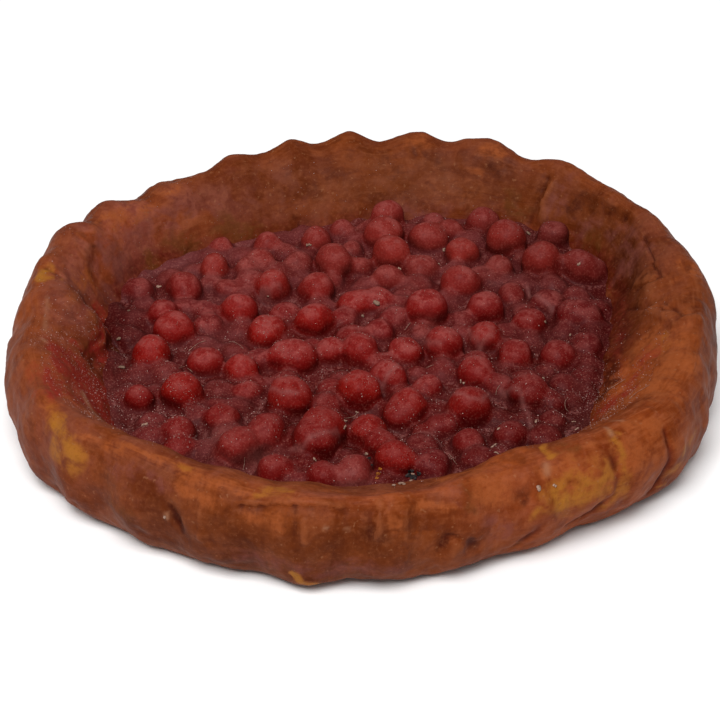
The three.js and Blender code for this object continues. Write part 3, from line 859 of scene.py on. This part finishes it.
def paint_of_filling(points, normals, shapes):
    """Values that the glaze's paint needs."""
    x, y, z = points.T
    up = normals[:, 2]
    weight, red = berry_weight(points, shapes)
    total = np.full(len(points), 1e-6)
    dull = total.copy()
    for close, share, berry in berry_shares(points, shapes):
        total[close] += share**2
        dull[close] += share**2 * berry.dull
    from_fold = np.min([distance_to_line(points[:, :2], line) for line in fold_lines()], 0)
    from_wall = np.clip(to_wall(x, y, z), 0, None)
    angle = np.degrees(np.arctan2(y, x))
    at_end = 1.1 * bell(turn(175, angle), 20) + bell(turn(4, angle), 24)
    front = smooth(-y, 2, 9)
    back = smooth(y, 0, 8)
    right_end = smooth(x, 4, 10)
    # painted shade: the berries' down- and front-facing sides are painted darker
    painted_shade_below = smooth(0.6 - up, 0, 0.7) * (0.25 + 0.75 * smooth(-normals[:, 1], 0, 0.75))
    # how strongly the painted shade in the gaps darkens, by region
    gap_shade_strength = 0.8 + 0.6 * front - 0.3 * back + 0.4 * right_end
    return {
        "berry": red,
        "dull": dull / total,
        "rise": z - glaze_level(x, y),
        "up": up,
        # pink dust and painted highlight on what faces up
        "dust_film_and_highlight": smooth(up, 0.4, 0.95) * (1 - 0.35 * front),
        # painted shade on the lower, front-facing sides of the berries
        "low": painted_shade_below * (1 + 0.3 * front - 0.35 * back),
        "foot": bell(weight - 0.3, 0.12),
        # painted shade in the gaps between berries
        "painted_gap_shade": above_surroundings(points, GAP_BLUR) * gap_shade_strength,
        # painted shade in the broad hollows of the glaze
        "painted_hollow_shade": above_surroundings(points, HILL_BLUR),
        "veil": 0.4 * smooth(y, -4, 7) + 0.45 * smooth(-x, 4, 11),
        "tone": 1.02 - 0.27 * right_end - 0.22 * front,
        # painted shade where the filling's left and right ends meet the wall
        "end": np.clip(at_end * bell(from_wall, 2.4), 0, 1),
        "far": smooth(y, 3, 8),
        "dusty": dusty_spots(points),
        "fold": bell(from_fold, FOLD_PAINT_WIDTH) * (1 - 0.5 * weight),
        # painted shade on the glaze next to the wall
        "edge": np.exp(-from_wall / 0.5),
    }


# Small things that lie on the tartlet

def surface_of(piece):
    points, _ = points_and_normals(piece)
    return BVHTree.FromPolygons(points.tolist(), [tuple(face.vertices) for face in piece.data.polygons])


def seen_on(trees, column, row):
    """The first point and normal of some surfaces that the camera sees at a pixel."""
    best = None
    direction = Vector(ray(column, row))
    for tree in trees:
        place, normal, _, far = tree.ray_cast(Vector(CAMERA), direction)
        if place is not None and (best is None or far < best[2]):
            best = (np.array(place), np.array(normal), far)
    return best


def rough_ball():
    """The twelve corners and twenty faces of a ball with a radius of 1."""
    mesh = bmesh.new()
    bmesh.ops.create_icosphere(mesh, subdivisions=1, radius=1)
    mesh.verts.index_update()
    corners = np.array([vertex.co[:] for vertex in mesh.verts])
    faces = np.array([[vertex.index for vertex in face.verts] for face in mesh.faces])
    mesh.free()
    return corners, faces


BALL_CORNERS, BALL_FACES = rough_ball()


def lump(size, seed):
    """The corners of a small uneven stone shape."""
    uneven = np.random.default_rng(seed).uniform(0.75, 1.15, (len(BALL_CORNERS), 1))
    return BALL_CORNERS * uneven * np.array(size) / 2


def upright_frame(normal, heading):
    """Three directions, the last along a normal and the first turned about it."""
    normal = unit(normal)
    side = unit(np.cross(normal, [0.3, 0.9, 0.2]))
    first = side * math.cos(heading) + np.cross(normal, side) * math.sin(heading)
    return np.stack([first, np.cross(normal, first), normal])


def scatter(name, items):
    """One piece of many lumps: each item is (place, normal, size, heading, shade)."""
    points, faces, shades = [], [], []
    for i, (place, normal, size, heading, shade) in enumerate(items):
        points.append(lump(size, i) @ upright_frame(normal, heading) + place)
        faces.append(BALL_FACES + len(BALL_CORNERS) * i)
        shades += [shade] * len(BALL_CORNERS)
    piece = make_mesh(name, np.concatenate(points), np.concatenate(faces))
    give_attributes(piece, {"shade": np.array(shades, float)})
    return piece


SPECKS_ON_GLAZE = 8500
SPECKS_ON_CASE = 3600
DUST_STRAY = 0.12
DUST_SIZE = 0.024  # most specks are hardly larger than this
DUST_GROWTH = 0.06  # and a few are this much larger


def dust(name, piece, count, density):
    """Specks of dust on what faces up, more of them where the density is high."""
    places, normals = points_and_normals(piece)
    weight = np.clip(normals[:, 2], 0, 1) ** 1.5 * density(piece, places) * np.exp(3 * bumps(places, 1.1, 31))
    picked = rng.choice(len(places), count, replace=False, p=weight / weight.sum())
    items = []
    for i in picked:
        stray = rng.uniform(-DUST_STRAY, DUST_STRAY, 3)
        place = places[i] + stray - (stray @ normals[i]) * normals[i]
        size = DUST_SIZE + DUST_GROWTH * rng.random() ** 4
        dims = size * np.array([1, rng.uniform(0.6, 1), rng.uniform(0.4, 0.7)])
        items.append((place + 0.2 * size * normals[i], normals[i], dims, rng.uniform(0, 6.3), rng.random()))
    return scatter(name, items)


# Where dust piles up: strength, x, y, half width and half length in millimetres
DUST_ON_GLAZE = ((2.5, -11.5, -6.5, 2.5, 4), (1.2, 11, -5, 2.5, 4))
DUST_ON_CASE = ((1, -14.5, -4.5, 2.2, 4.5), (0.6, 12.5, -7.5, 3, 4))


def piles(rows, x, y):
    return sum(amount * bell(x - u, wide) * bell(y - v, long) for amount, u, v, wide, long in rows)


def filling_density(piece, places):
    x, y, z = places.T
    foot = np.zeros(len(places), np.float32)
    piece.data.attributes["foot"].data.foreach_get("value", foot)
    return (0.25 + smooth(-y, -7, 8) + piles(DUST_ON_GLAZE, x, y)) * (1 + 4 * foot) * (z > 2.1)


def case_density(_, places):
    x, y, z = places.T
    inner = (np.hypot(x, y) < RIM_RADIUS - 1.5 + 2 * (x < -10)) & (z > GLAZE_HEIGHT)
    return (0.015 + piles(DUST_ON_CASE, x, y)) * inner


# Fibres: the column and row of each pixel
FIBRES = (
    (608, 391, 613, 388, 619, 384, 626, 380), (630, 400, 636, 394, 644, 389, 650, 385),
    (449, 455, 452, 458, 454, 462, 457, 465), (189, 352, 194, 347, 200, 343, 206, 341),
    (229, 342, 235, 343, 240, 346, 243, 349), (568, 398, 564, 402, 565, 408, 568, 412),
    (178, 369, 184, 367, 190, 369, 193, 372), (405, 330, 408, 326, 411, 323),
    (344, 419, 349, 418, 354, 417, 358, 412), (426, 369, 430, 367, 434, 365), (500, 385, 497, 390, 496, 395),
    (244, 457, 244, 463, 243, 470),
)
FIBRE_RADIUS = 0.011
FIBRE_LIFT = (0.03, 0.08)  # how far a fibre lies above what is under it
FIBRE_RINGS = 14
FIBRE_SIDES = 6


def fibres(trees):
    """One piece of thin lint fibres, each a tube along its pixels."""
    points, quads = [], []
    turned = 360 * np.arange(FIBRE_SIDES)[:, None] / FIBRE_SIDES
    low, high = FIBRE_LIFT
    for line in FIBRES:
        seen = [seen_on(trees, column, row) for column, row in pairs(line)]
        path = [place + (low + (high - low) * rng.random()) * normal for place, normal, _ in seen]
        dense, direction = spline(path, np.linspace(0, 1, FIBRE_RINGS))
        side = unit(np.cross(direction, [0, 0, 1]))
        round_it = round_the_axis(turned, FIBRE_RADIUS, np.zeros_like(turned))
        tube = dense + round_it[..., :1] * side + round_it[..., 1:2] * np.cross(side, direction)
        ids = np.arange(FIBRE_SIDES * FIBRE_RINGS).reshape(FIBRE_SIDES, FIBRE_RINGS)
        quads.append(ring_quads(ids + ids.size * len(points)))
        points.append(tube.reshape(-1, 3))
    return make_mesh("lint_fibres", np.concatenate(points), np.concatenate(quads))


# Crumbs: column, row, length, width and height in millimetres, heading in degrees, and how pale each is
CRUMBS = (
    (145, 425, 0.4, 0.24, 0.2, 35, 0.95), (159, 287, 0.42, 0.2, 0.18, 0, 0.95),
    (494, 446, 0.6, 0.16, 0.12, 50, 0.9), (496, 453, 0.35, 0.12, 0.1, 10, 0.8),
    (574, 422, 0.34, 0.1, 0.08, 25, 0.9), (577, 429, 0.4, 0.16, 0.14, 50, 0.85),
    (344, 427, 0.36, 0.18, 0.14, 80, 0.85), (345, 421, 0.28, 0.16, 0.14, 20, 0.8),
    (357, 412, 0.2, 0.14, 0.12, 0, 1.0), (461, 381, 0.26, 0.16, 0.12, 30, 1.0),
    (464, 383, 0.22, 0.16, 0.12, 0, 1.0), (543, 378, 0.2, 0.16, 0.12, 0, 1.0),
    (499, 429, 0.24, 0.16, 0.14, 60, 0.95), (536, 421, 0.3, 0.14, 0.12, 85, 0.9),
    (570, 335, 0.28, 0.16, 0.14, 60, 0.9), (315, 460, 0.3, 0.16, 0.12, 0, 0.9),
    (367, 454, 0.3, 0.2, 0.14, 10, 0.7), (122, 368, 0.45, 0.26, 0.2, 0, 0.4),
    (119, 339, 0.4, 0.22, 0.18, 10, 0.4), (129, 311, 0.24, 0.16, 0.14, 0, 0.35),
    (377, 303, 0.42, 0.4, 0.18, 90, 0.55), (362, 316, 0.34, 0.24, 0.14, 60, 0.65),
    (545, 322, 0.26, 0.22, 0.16, 0, 0.35), (528, 234, 0.4, 0.3, 0.2, 0, 0.45),
    (402, 484, 0.5, 0.3, 0.2, 0, 0.7), (394, 486, 0.3, 0.2, 0.16, 30, 0.85),
    (413, 474, 0.22, 0.16, 0.14, 0, 0.85), (411, 481, 0.24, 0.16, 0.14, 20, 0.8),
    (309, 245, 0.36, 0.22, 0.16, 0, 0.6), (444, 250, 0.26, 0.2, 0.16, 80, 0.6),
    (439, 264, 0.2, 0.16, 0.14, 0, 0.8), (399, 269, 0.2, 0.16, 0.12, 0, 0.9),
    (268, 296, 0.16, 0.12, 0.1, 0, 0.7), (579, 264, 0.3, 0.2, 0.1, 70, 0.8),
    (539, 488, 0.42, 0.24, 0.1, -20, 0.9), (555, 486, 0.26, 0.22, 0.1, 0, 0.95),
    (165, 517, 0.22, 0.18, 0.14, 0, 0.95),
)
CRUMB_PARTS = (-0.16, 0.02, 0.17)  # a crumb's three lumps lie at these shares of its length

# Specks of soot and of amber: column, row and size of each cluster
SOOT = (
    (409, 475, 0.6), (415, 477, 0.7), (412, 471, 0.5), (419, 474, 0.45), (370, 458, 0.3), (372, 465, 0.25),
)
AMBER = ((380, 469, 0.4), (378, 474, 0.45), (377, 478, 0.35))


def crumbs(trees):
    items = []
    for column, row, long, wide, high, heading, shade in CRUMBS:
        place, normal, _ = seen_on(trees, column, row)
        along = upright_frame(normal, math.radians(heading))[0]
        for share in CRUMB_PARTS:
            spot = place + share * long * along + rng.normal(0, 0.1 * wide, 3) + 0.25 * high * normal
            dims = np.array([0.7 * long, wide, 0.8 * high]) * rng.uniform(0.6, 1.1, 3)
            items.append((spot, normal, dims, math.radians(heading) + rng.uniform(-0.5, 0.5), shade))
    return scatter("pale_crumbs", items)


SPECKS = 16  # in each cluster


def specks(name, trees, rows):
    """One piece of small clusters: each row is the column, the row and the size of a cluster."""
    items = []
    for column, row, size in rows:
        for _ in range(SPECKS):
            off = rng.normal(0, 2.2 * size, 2)
            place, normal, _ = seen_on(trees, column + off[0], row + 0.7 * off[1])
            part = size * rng.uniform(0.18, 0.42)
            dims = (part, 0.7 * part, 0.4 * part)
            items.append((place + 0.1 * part * normal, normal, dims, rng.uniform(0, 6.3), rng.random()))
    return scatter(name, items)


# Materials

LIGHT = 1.27  # how much a level white surface would show under the lamp and the sky
SHEEN = 0.006  # what the satin surface adds to each part of its colour


def paint(red, green, blue):
    """The base colour of a surface that shows as this screen colour, from 0 to 255, in this light."""
    parts = [v / 255 for v in (red, green, blue)]
    shown = [p / 12.92 if p <= 0.04045 else ((p + 0.055) / 1.055) ** 2.4 for p in parts]
    return tuple(max(p - SHEEN, 0.001) / LIGHT for p in shown) + (1,)


class Shader:
    """A material made of nodes, built up by short calls. Its place is in millimetres."""

    def __init__(self, name):
        self.material = bpy.data.materials.new(name)
        self.material.use_nodes = True
        self.nodes = self.material.node_tree.nodes
        self.links = self.material.node_tree.links
        self.place = self.stretch(self.nodes.new("ShaderNodeTexCoord").outputs["Object"], (1 / MM,) * 3)

    def fill(self, node, inputs):
        """Gives each input of a node its value, or a link where that is a socket."""
        for key, value in inputs.items():
            if isinstance(value, bpy.types.NodeSocket):
                self.links.new(value, node.inputs[key])
            else:
                node.inputs[key].default_value = value
        return node

    def attribute(self, name, output="Fac"):
        node = self.nodes.new("ShaderNodeAttribute")
        node.attribute_name = name
        return node.outputs[output]

    def math(self, operation, a, b, clamp=False):
        node = self.nodes.new("ShaderNodeMath")
        node.operation = operation
        node.use_clamp = clamp
        return self.fill(node, {0: a, 1: b}).outputs[0]

    def times(self, a, b, clamp=False):
        return self.math("MULTIPLY", a, b, clamp)

    def stretch(self, vector, scale):
        """A vector with each of its parts scaled."""
        node = self.nodes.new("ShaderNodeVectorMath")
        node.operation = "MULTIPLY"
        return self.fill(node, {0: vector, 1: scale}).outputs[0]

    def noise(self, vector, per_mm, detail=3.0, rough=0.55, distortion=0.0):
        """Noise from 0 to 1 with that many bumps in a millimetre."""
        node = self.nodes.new("ShaderNodeTexNoise")
        inputs = {"Scale": per_mm, "Detail": detail, "Roughness": rough, "Distortion": distortion}
        return self.fill(node, {"Vector": vector, **inputs}).outputs["Fac"]

    def span(self, value, start, end, low=0.0, high=1.0):
        """Maps start to low and end to high, with soft ends."""
        node = self.nodes.new("ShaderNodeMapRange")
        node.interpolation_type = "SMOOTHSTEP"
        inputs = {"Value": value, "From Min": start, "From Max": end, "To Min": low, "To Max": high}
        return self.fill(node, inputs).outputs["Result"]

    def mix(self, share, a, b, blend="MIX"):
        node = self.nodes.new("ShaderNodeMix")
        node.data_type = "RGBA"
        node.blend_type = blend
        return self.fill(node, {"Factor": share, "A": a, "B": b}).outputs["Result"]

    def over(self, colour, tint, share, more):
        """A colour with a screen colour over it, by the product of two shares."""
        return self.mix(self.times(share, more), colour, paint(*tint))

    def layers(self, colour, rows):
        """A colour with layers over it: each row is (value, its start, its end, cover at the end, tint)."""
        for value, start, end, cover, tint in rows:
            colour = self.mix(self.span(value, start, end, 0, cover), colour, paint(*tint))
        return colour

    def patch(self, strength, breakup):
        """A patch from 0 to 1 whose soft edge a noise tears."""
        return self.span(self.times(strength, self.math("ADD", breakup, 0.45)), 0.22, 0.95)

    def bumpy(self, layers):
        """The normal over some bumps: each row is (height, depth in millimetres, strength)."""
        normal = None
        for height, depth, strength in layers:
            node = self.nodes.new("ShaderNodeBump")
            self.fill(node, {"Strength": strength, "Distance": depth * MM, "Height": height})
            if normal:
                self.links.new(normal, node.inputs["Normal"])
            normal = node.outputs["Normal"]
        return normal

    def finish(self, colour, rough, bumps, specular):
        inputs = {
            "Base Color": colour,
            "Roughness": rough,
            "Normal": self.bumpy(bumps),
            "Specular IOR Level": specular,
        }
        self.fill(self.nodes["Principled BSDF"], inputs)
        return self.material


def painted_crust():
    s = Shader("painted_crust")
    brush = s.attribute("brush", "Vector")
    level = s.noise(s.stretch(brush, (0.55, 0.55, 2.4)), 1.0, 5, 0.55, 0.7)
    standing = s.noise(s.stretch(brush, (2.4, 2.4, 0.6)), 1.0, 5, 0.55, 0.7)
    streak = s.mix(s.attribute("upright"), level, standing)
    broad = s.noise(s.place, 0.26, 2, 0.5, 0.4)
    cloud = s.noise(s.place, 0.55, 4, 0.55, 0.5)
    cloudlet = s.noise(s.place, 1.3, 4, 0.6, 0.5)
    mottle = s.noise(s.place, 3.0, 4, 0.6, 0.6)
    grain = s.noise(s.place, 7.0, 3, 0.6)
    fine = s.noise(s.place, 4.0, 4, 0.65)
    fleck = s.noise(s.place, 4.2, 1, 0.4)
    torn = s.span(s.math("ADD", s.times(cloudlet, 0.65), s.times(streak, 0.35)), 0.33, 0.67)
    cavity = s.attribute("cavity")

    colour = s.mix(s.span(broad, 0.38, 0.62), paint(110, 50, 24), paint(132, 64, 30))
    washes = (
        (cloud, 0.5, 0.66, 0.55, (148, 76, 43)),
        (cloud, 0.47, 0.34, 0.6, (94, 42, 22)),
        (cloudlet, 0.52, 0.66, 0.35, (128, 68, 46)),
        (streak, 0.5, 0.66, 0.35, (148, 82, 50)),
        (streak, 0.48, 0.36, 0.35, (90, 36, 19)),
    )
    colour = s.layers(colour, washes)
    haze = s.times(s.attribute("haze"), s.span(cloud, 0.36, 0.58, 0.25, 1))
    colour = s.mix(haze, colour, s.mix(s.span(cloudlet, 0.4, 0.6), paint(108, 55, 44), paint(124, 68, 54)))
    # the paint's tone by region, with painted shade on the right inner wall and painted light on the front
    # crest
    colour = s.mix(1.0, colour, s.attribute("tone"), "MULTIPLY")
    # glaze stain and painted shade at the foot of the inner wall
    stain_and_shade = s.times(s.attribute("stain_and_shade"), s.span(torn, 0.0, 1.0, 0.5, 0.95))
    colour = s.mix(stain_and_shade, colour, s.mix(s.span(mottle, 0.35, 0.65), paint(82, 26, 20), paint(100, 35, 29)))
    patches = (
        # olive paint, and painted shade at the foot of the back-left wall
        ("olive", 0.65, (98, 56, 28)),
        # mauve paint, and painted shade at the back left and on the right inner wall
        ("mauve", 0.6, (124, 68, 60)),
        ("orange", 0.8, (154, 80, 43)),
        ("crimson", 0.85, (135, 38, 33)),
        ("yellow", 0.85, (158, 95, 40)),
        # dark paint, and painted shade in pits, gaps and on the right inner wall
        ("dark", 0.75, (66, 28, 16)),
    )
    for name, cover, tint in patches:
        colour = s.over(colour, tint, s.patch(s.attribute(name), torn), cover)
    thick = s.span(s.attribute("yellow"), 0.6, 1.15, 0, 0.6)
    colour = s.over(colour, (170, 112, 42), thick, s.span(torn, 0.0, 0.7, 0.3, 1))
    colour = s.over(colour, (104, 38, 20), s.attribute("rust"), s.span(torn, 0, 0.6, 0.4, 0.85))
    worn = (
        (cavity, -0.02, -0.16, 0.75, (64, 26, 16)),
        (cavity, 0.02, 0.1, 0.35, (150, 84, 52)),
    )
    colour = s.layers(colour, worn)
    colour = s.over(colour, (170, 124, 96), s.attribute("pale"), 0.6)
    details = (
        (fleck, 0.7, 0.77, 0.3, (160, 108, 76)),
        (mottle, 0.48, 0.32, 0.1, (82, 34, 20)),
        (mottle, 0.52, 0.68, 0.1, (152, 86, 56)),
        (fine, 0.5, 0.34, 0.18, (78, 33, 20)),
        (fine, 0.52, 0.66, 0.14, (162, 96, 62)),
    )
    colour = s.layers(colour, details)
    rough = s.span(cloudlet, 0.3, 0.7, 0.45, 0.6)
    return s.finish(colour, rough, ((streak, 0.07, 0.4), (grain, 0.03, 0.4)), 0.05)


def berry_glaze():
    s = Shader("berry_glaze")
    cloud = s.noise(s.place, 0.4, 3, 0.5, 0.3)
    cloudlet = s.noise(s.place, 1.6, 4, 0.6, 0.5)
    mottle = s.noise(s.place, 4.0, 3, 0.6, 0.5)
    grain = s.noise(s.place, 9.0, 3, 0.6)
    fine = s.noise(s.place, 8.5, 4, 0.75)
    dust_and_glint_specks = s.noise(s.place, 13.0, 2, 0.5)
    berry = s.times(s.attribute("berry"), s.span(s.attribute("rise"), 0.1, 0.6))
    dull = s.attribute("dull")

    red = s.mix(s.span(dull, 0, 0.5), paint(144, 29, 24), paint(127, 29, 27))
    shades = (
        (dull, 0.5, 1, 1, (102, 27, 28)),
        (cloudlet, 0.5, 0.36, 0.35, (108, 20, 17)),
        (mottle, 0.5, 0.32, 0.2, (100, 16, 14)),
    )
    red = s.layers(red, shades)
    # pink dust film and painted highlight on the berries' up-facing tops
    red = s.over(red, (150, 70, 66), s.attribute("dust_film_and_highlight"), s.span(cloudlet, 0.41, 0.61, 0.12, 0.88))
    # painted shade: the lower, front-facing sides of the berries turn a deep dark red
    low = s.times(s.attribute("low"), 0.95, clamp=True)
    red = s.mix(low, red, s.mix(dull, paint(94, 8, 6), paint(76, 13, 13)))
    red = s.over(red, (124, 62, 54), s.attribute("far"), 0.3)

    bowl = s.mix(s.span(cloud, 0.35, 0.65), paint(87, 28, 26), paint(104, 39, 38))
    clouds = (
        (cloudlet, 0.48, 0.68, 0.4, (120, 62, 64)),
        (mottle, 0.5, 0.3, 0.25, (80, 20, 18)),
    )
    bowl = s.layers(bowl, clouds)
    # painted shade: the glaze darkens next to the wall
    bowl = s.over(bowl, (88, 38, 30), s.attribute("edge"), 0.5)
    bowl = s.over(bowl, (112, 60, 60), s.attribute("veil"), s.span(cloud, 0.35, 0.6, 0.4, 1))

    colour = s.mix(s.span(berry, 0.1, 0.9), bowl, red)
    # painted shade: the gaps between berries and the broad hollows are darkened
    painted_shades = (
        (s.attribute("painted_hollow_shade"), 0.1, -0.4, 0.25, (72, 18, 17)),
        (s.attribute("painted_gap_shade"), 0.0, -0.13, 0.45, (70, 10, 9)),
    )
    colour = s.layers(colour, painted_shades)
    colour = s.mix(1.0, colour, s.attribute("tone"), "MULTIPLY")
    # dust, pale foot lines and folds, and painted shade at the filling's ends by the wall
    dirt_and_shade = (
        ("end", (66, 17, 14), s.span(berry, 0.2, 0.9, 1, 0.6)),
        ("dusty", (148, 84, 78), s.span(mottle, 0.3, 0.6, 0.5, 1)),
        ("foot", (138, 84, 80), s.span(mottle, 0.45, 0.62, 0, 0.6)),
        ("fold", (146, 92, 88), 0.7),
    )
    for name, tint, share in dirt_and_shade:
        colour = s.over(colour, tint, s.attribute(name), share)
    colour = s.layers(colour, ((fine, 0.5, 0.34, 0.35, (76, 12, 10)), (fine, 0.54, 0.66, 0.3, (166, 90, 80))))
    # pale specks on what faces up: dust and painted glints
    upward = s.span(s.attribute("up"), 0.2, 0.9, 0.2, 1)
    colour = s.over(colour, (176, 112, 100), s.span(dust_and_glint_specks, 0.61, 0.68, 0, 0.32), upward)

    rough_bowl = s.span(cloudlet, 0.35, 0.65, 0.45, 0.65)
    rough = s.mix(s.span(berry, 0.2, 0.8), rough_bowl, s.span(cloudlet, 0.3, 0.7, 0.42, 0.6))
    return s.finish(colour, rough, ((cloudlet, 0.04, 0.25), (mottle, 0.025, 0.3), (grain, 0.02, 0.4)), 0.06)


def dusty(name, dark, pale, rough):
    """A dull material whose colour runs from dark to pale with each lump's shade."""
    s = Shader(name)
    speckle = s.noise(s.place, 9.0, 2)
    colour = s.mix(s.attribute("shade"), paint(*dark), paint(*pale))
    colour = s.layers(colour, ((speckle, 0.35, 0.7, 0.35, dark),))
    rough = s.span(speckle, 0.3, 0.7, rough - 0.1, rough + 0.1)
    return s.finish(colour, rough, ((speckle, 0.02, 0.5),), 0.12)


def lint():
    s = Shader("lint")
    speckle = s.noise(s.place, 6.0, 2)
    colour = s.mix(s.span(speckle, 0.35, 0.65), paint(132, 92, 80), paint(178, 142, 124))
    return s.finish(colour, s.span(speckle, 0.3, 0.7, 0.6, 0.8), ((speckle, 0.01, 0.5),), 0.2)


# Stage

TABLE = 1200  # millimetres
KEY_LAMP = (-72, -309, 512)
KEY_SIZE = 320
KEY_POWER = 4.1
WORLD_STRENGTH = 0.33


def table_top():
    corners = TABLE / 2 * np.array([(-1, -1, 0), (1, -1, 0), (1, 1, 0), (-1, 1, 0)])
    floor = make_mesh("table_top", corners, np.array([[0, 1, 2, 3]]))
    s = Shader("pale_table")
    soft = s.noise(s.place, 0.06, 2)
    colour = s.mix(soft, (0.93, 0.93, 0.93, 1), (0.95, 0.95, 0.95, 1))
    floor.data.materials.append(s.finish(colour, s.span(soft, 0, 1, 0.7, 0.8), ((soft, 0.01, 0.1),), 0.2))
    return floor


def light_the_scene():
    world = bpy.data.worlds.new("studio")
    bpy.context.scene.world = world
    world.use_nodes = True
    background = world.node_tree.nodes["Background"]
    background.inputs["Color"].default_value = (1, 1, 1, 1)
    background.inputs["Strength"].default_value = WORLD_STRENGTH
    data = bpy.data.lights.new("key", "AREA")
    data.shape = "SQUARE"
    data.size = KEY_SIZE * MM
    data.energy = KEY_POWER
    lamp = add_object("key", data)
    lamp.location = Vector(KEY_LAMP) * MM
    lamp.rotation_euler = (Vector(TARGET) - Vector(KEY_LAMP)).to_track_quat("-Z", "Y").to_euler()
    bpy.context.scene.view_settings.view_transform = "Standard"


def place_camera():
    data = bpy.data.cameras.new("camera")
    data.lens = LENS
    data.sensor_width = SENSOR
    data.clip_start = 0.005
    data.clip_end = 10
    camera = add_object("camera", data)
    camera.location = Vector(CAMERA) * MM
    camera.rotation_euler = rotation.to_euler()
    bpy.context.scene.camera = camera


# The tartlet

case = pastry_case()
case.data.materials.append(painted_crust())
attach(case, "root")
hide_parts("pastry_case")

berries = filling()
berries.data.materials.append(berry_glaze())
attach(berries, "root")
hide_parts("berry_filling")

surfaces = [surface_of(case), surface_of(berries)]
grey = dusty("dust", (140, 88, 80), (214, 178, 168), 0.8)
small_things = (
    (dust("dust_on_glaze", berries, SPECKS_ON_GLAZE, filling_density), grey),
    (dust("dust_on_case", case, SPECKS_ON_CASE, case_density), grey),
    (fibres(surfaces), lint()),
    (crumbs(surfaces), dusty("crumb", (88, 66, 50), (178, 144, 126), 0.75)),
    (specks("soot", surfaces, SOOT), dusty("soot", (22, 18, 20), (74, 66, 66), 0.85)),
    (specks("amber_crumb", surfaces, AMBER), dusty("amber", (120, 62, 20), (176, 110, 44), 0.4)),
)
for piece, material in small_things:
    piece.data.materials.append(material)
    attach(piece, "root")

floor = table_top()
light_the_scene()
place_camera()
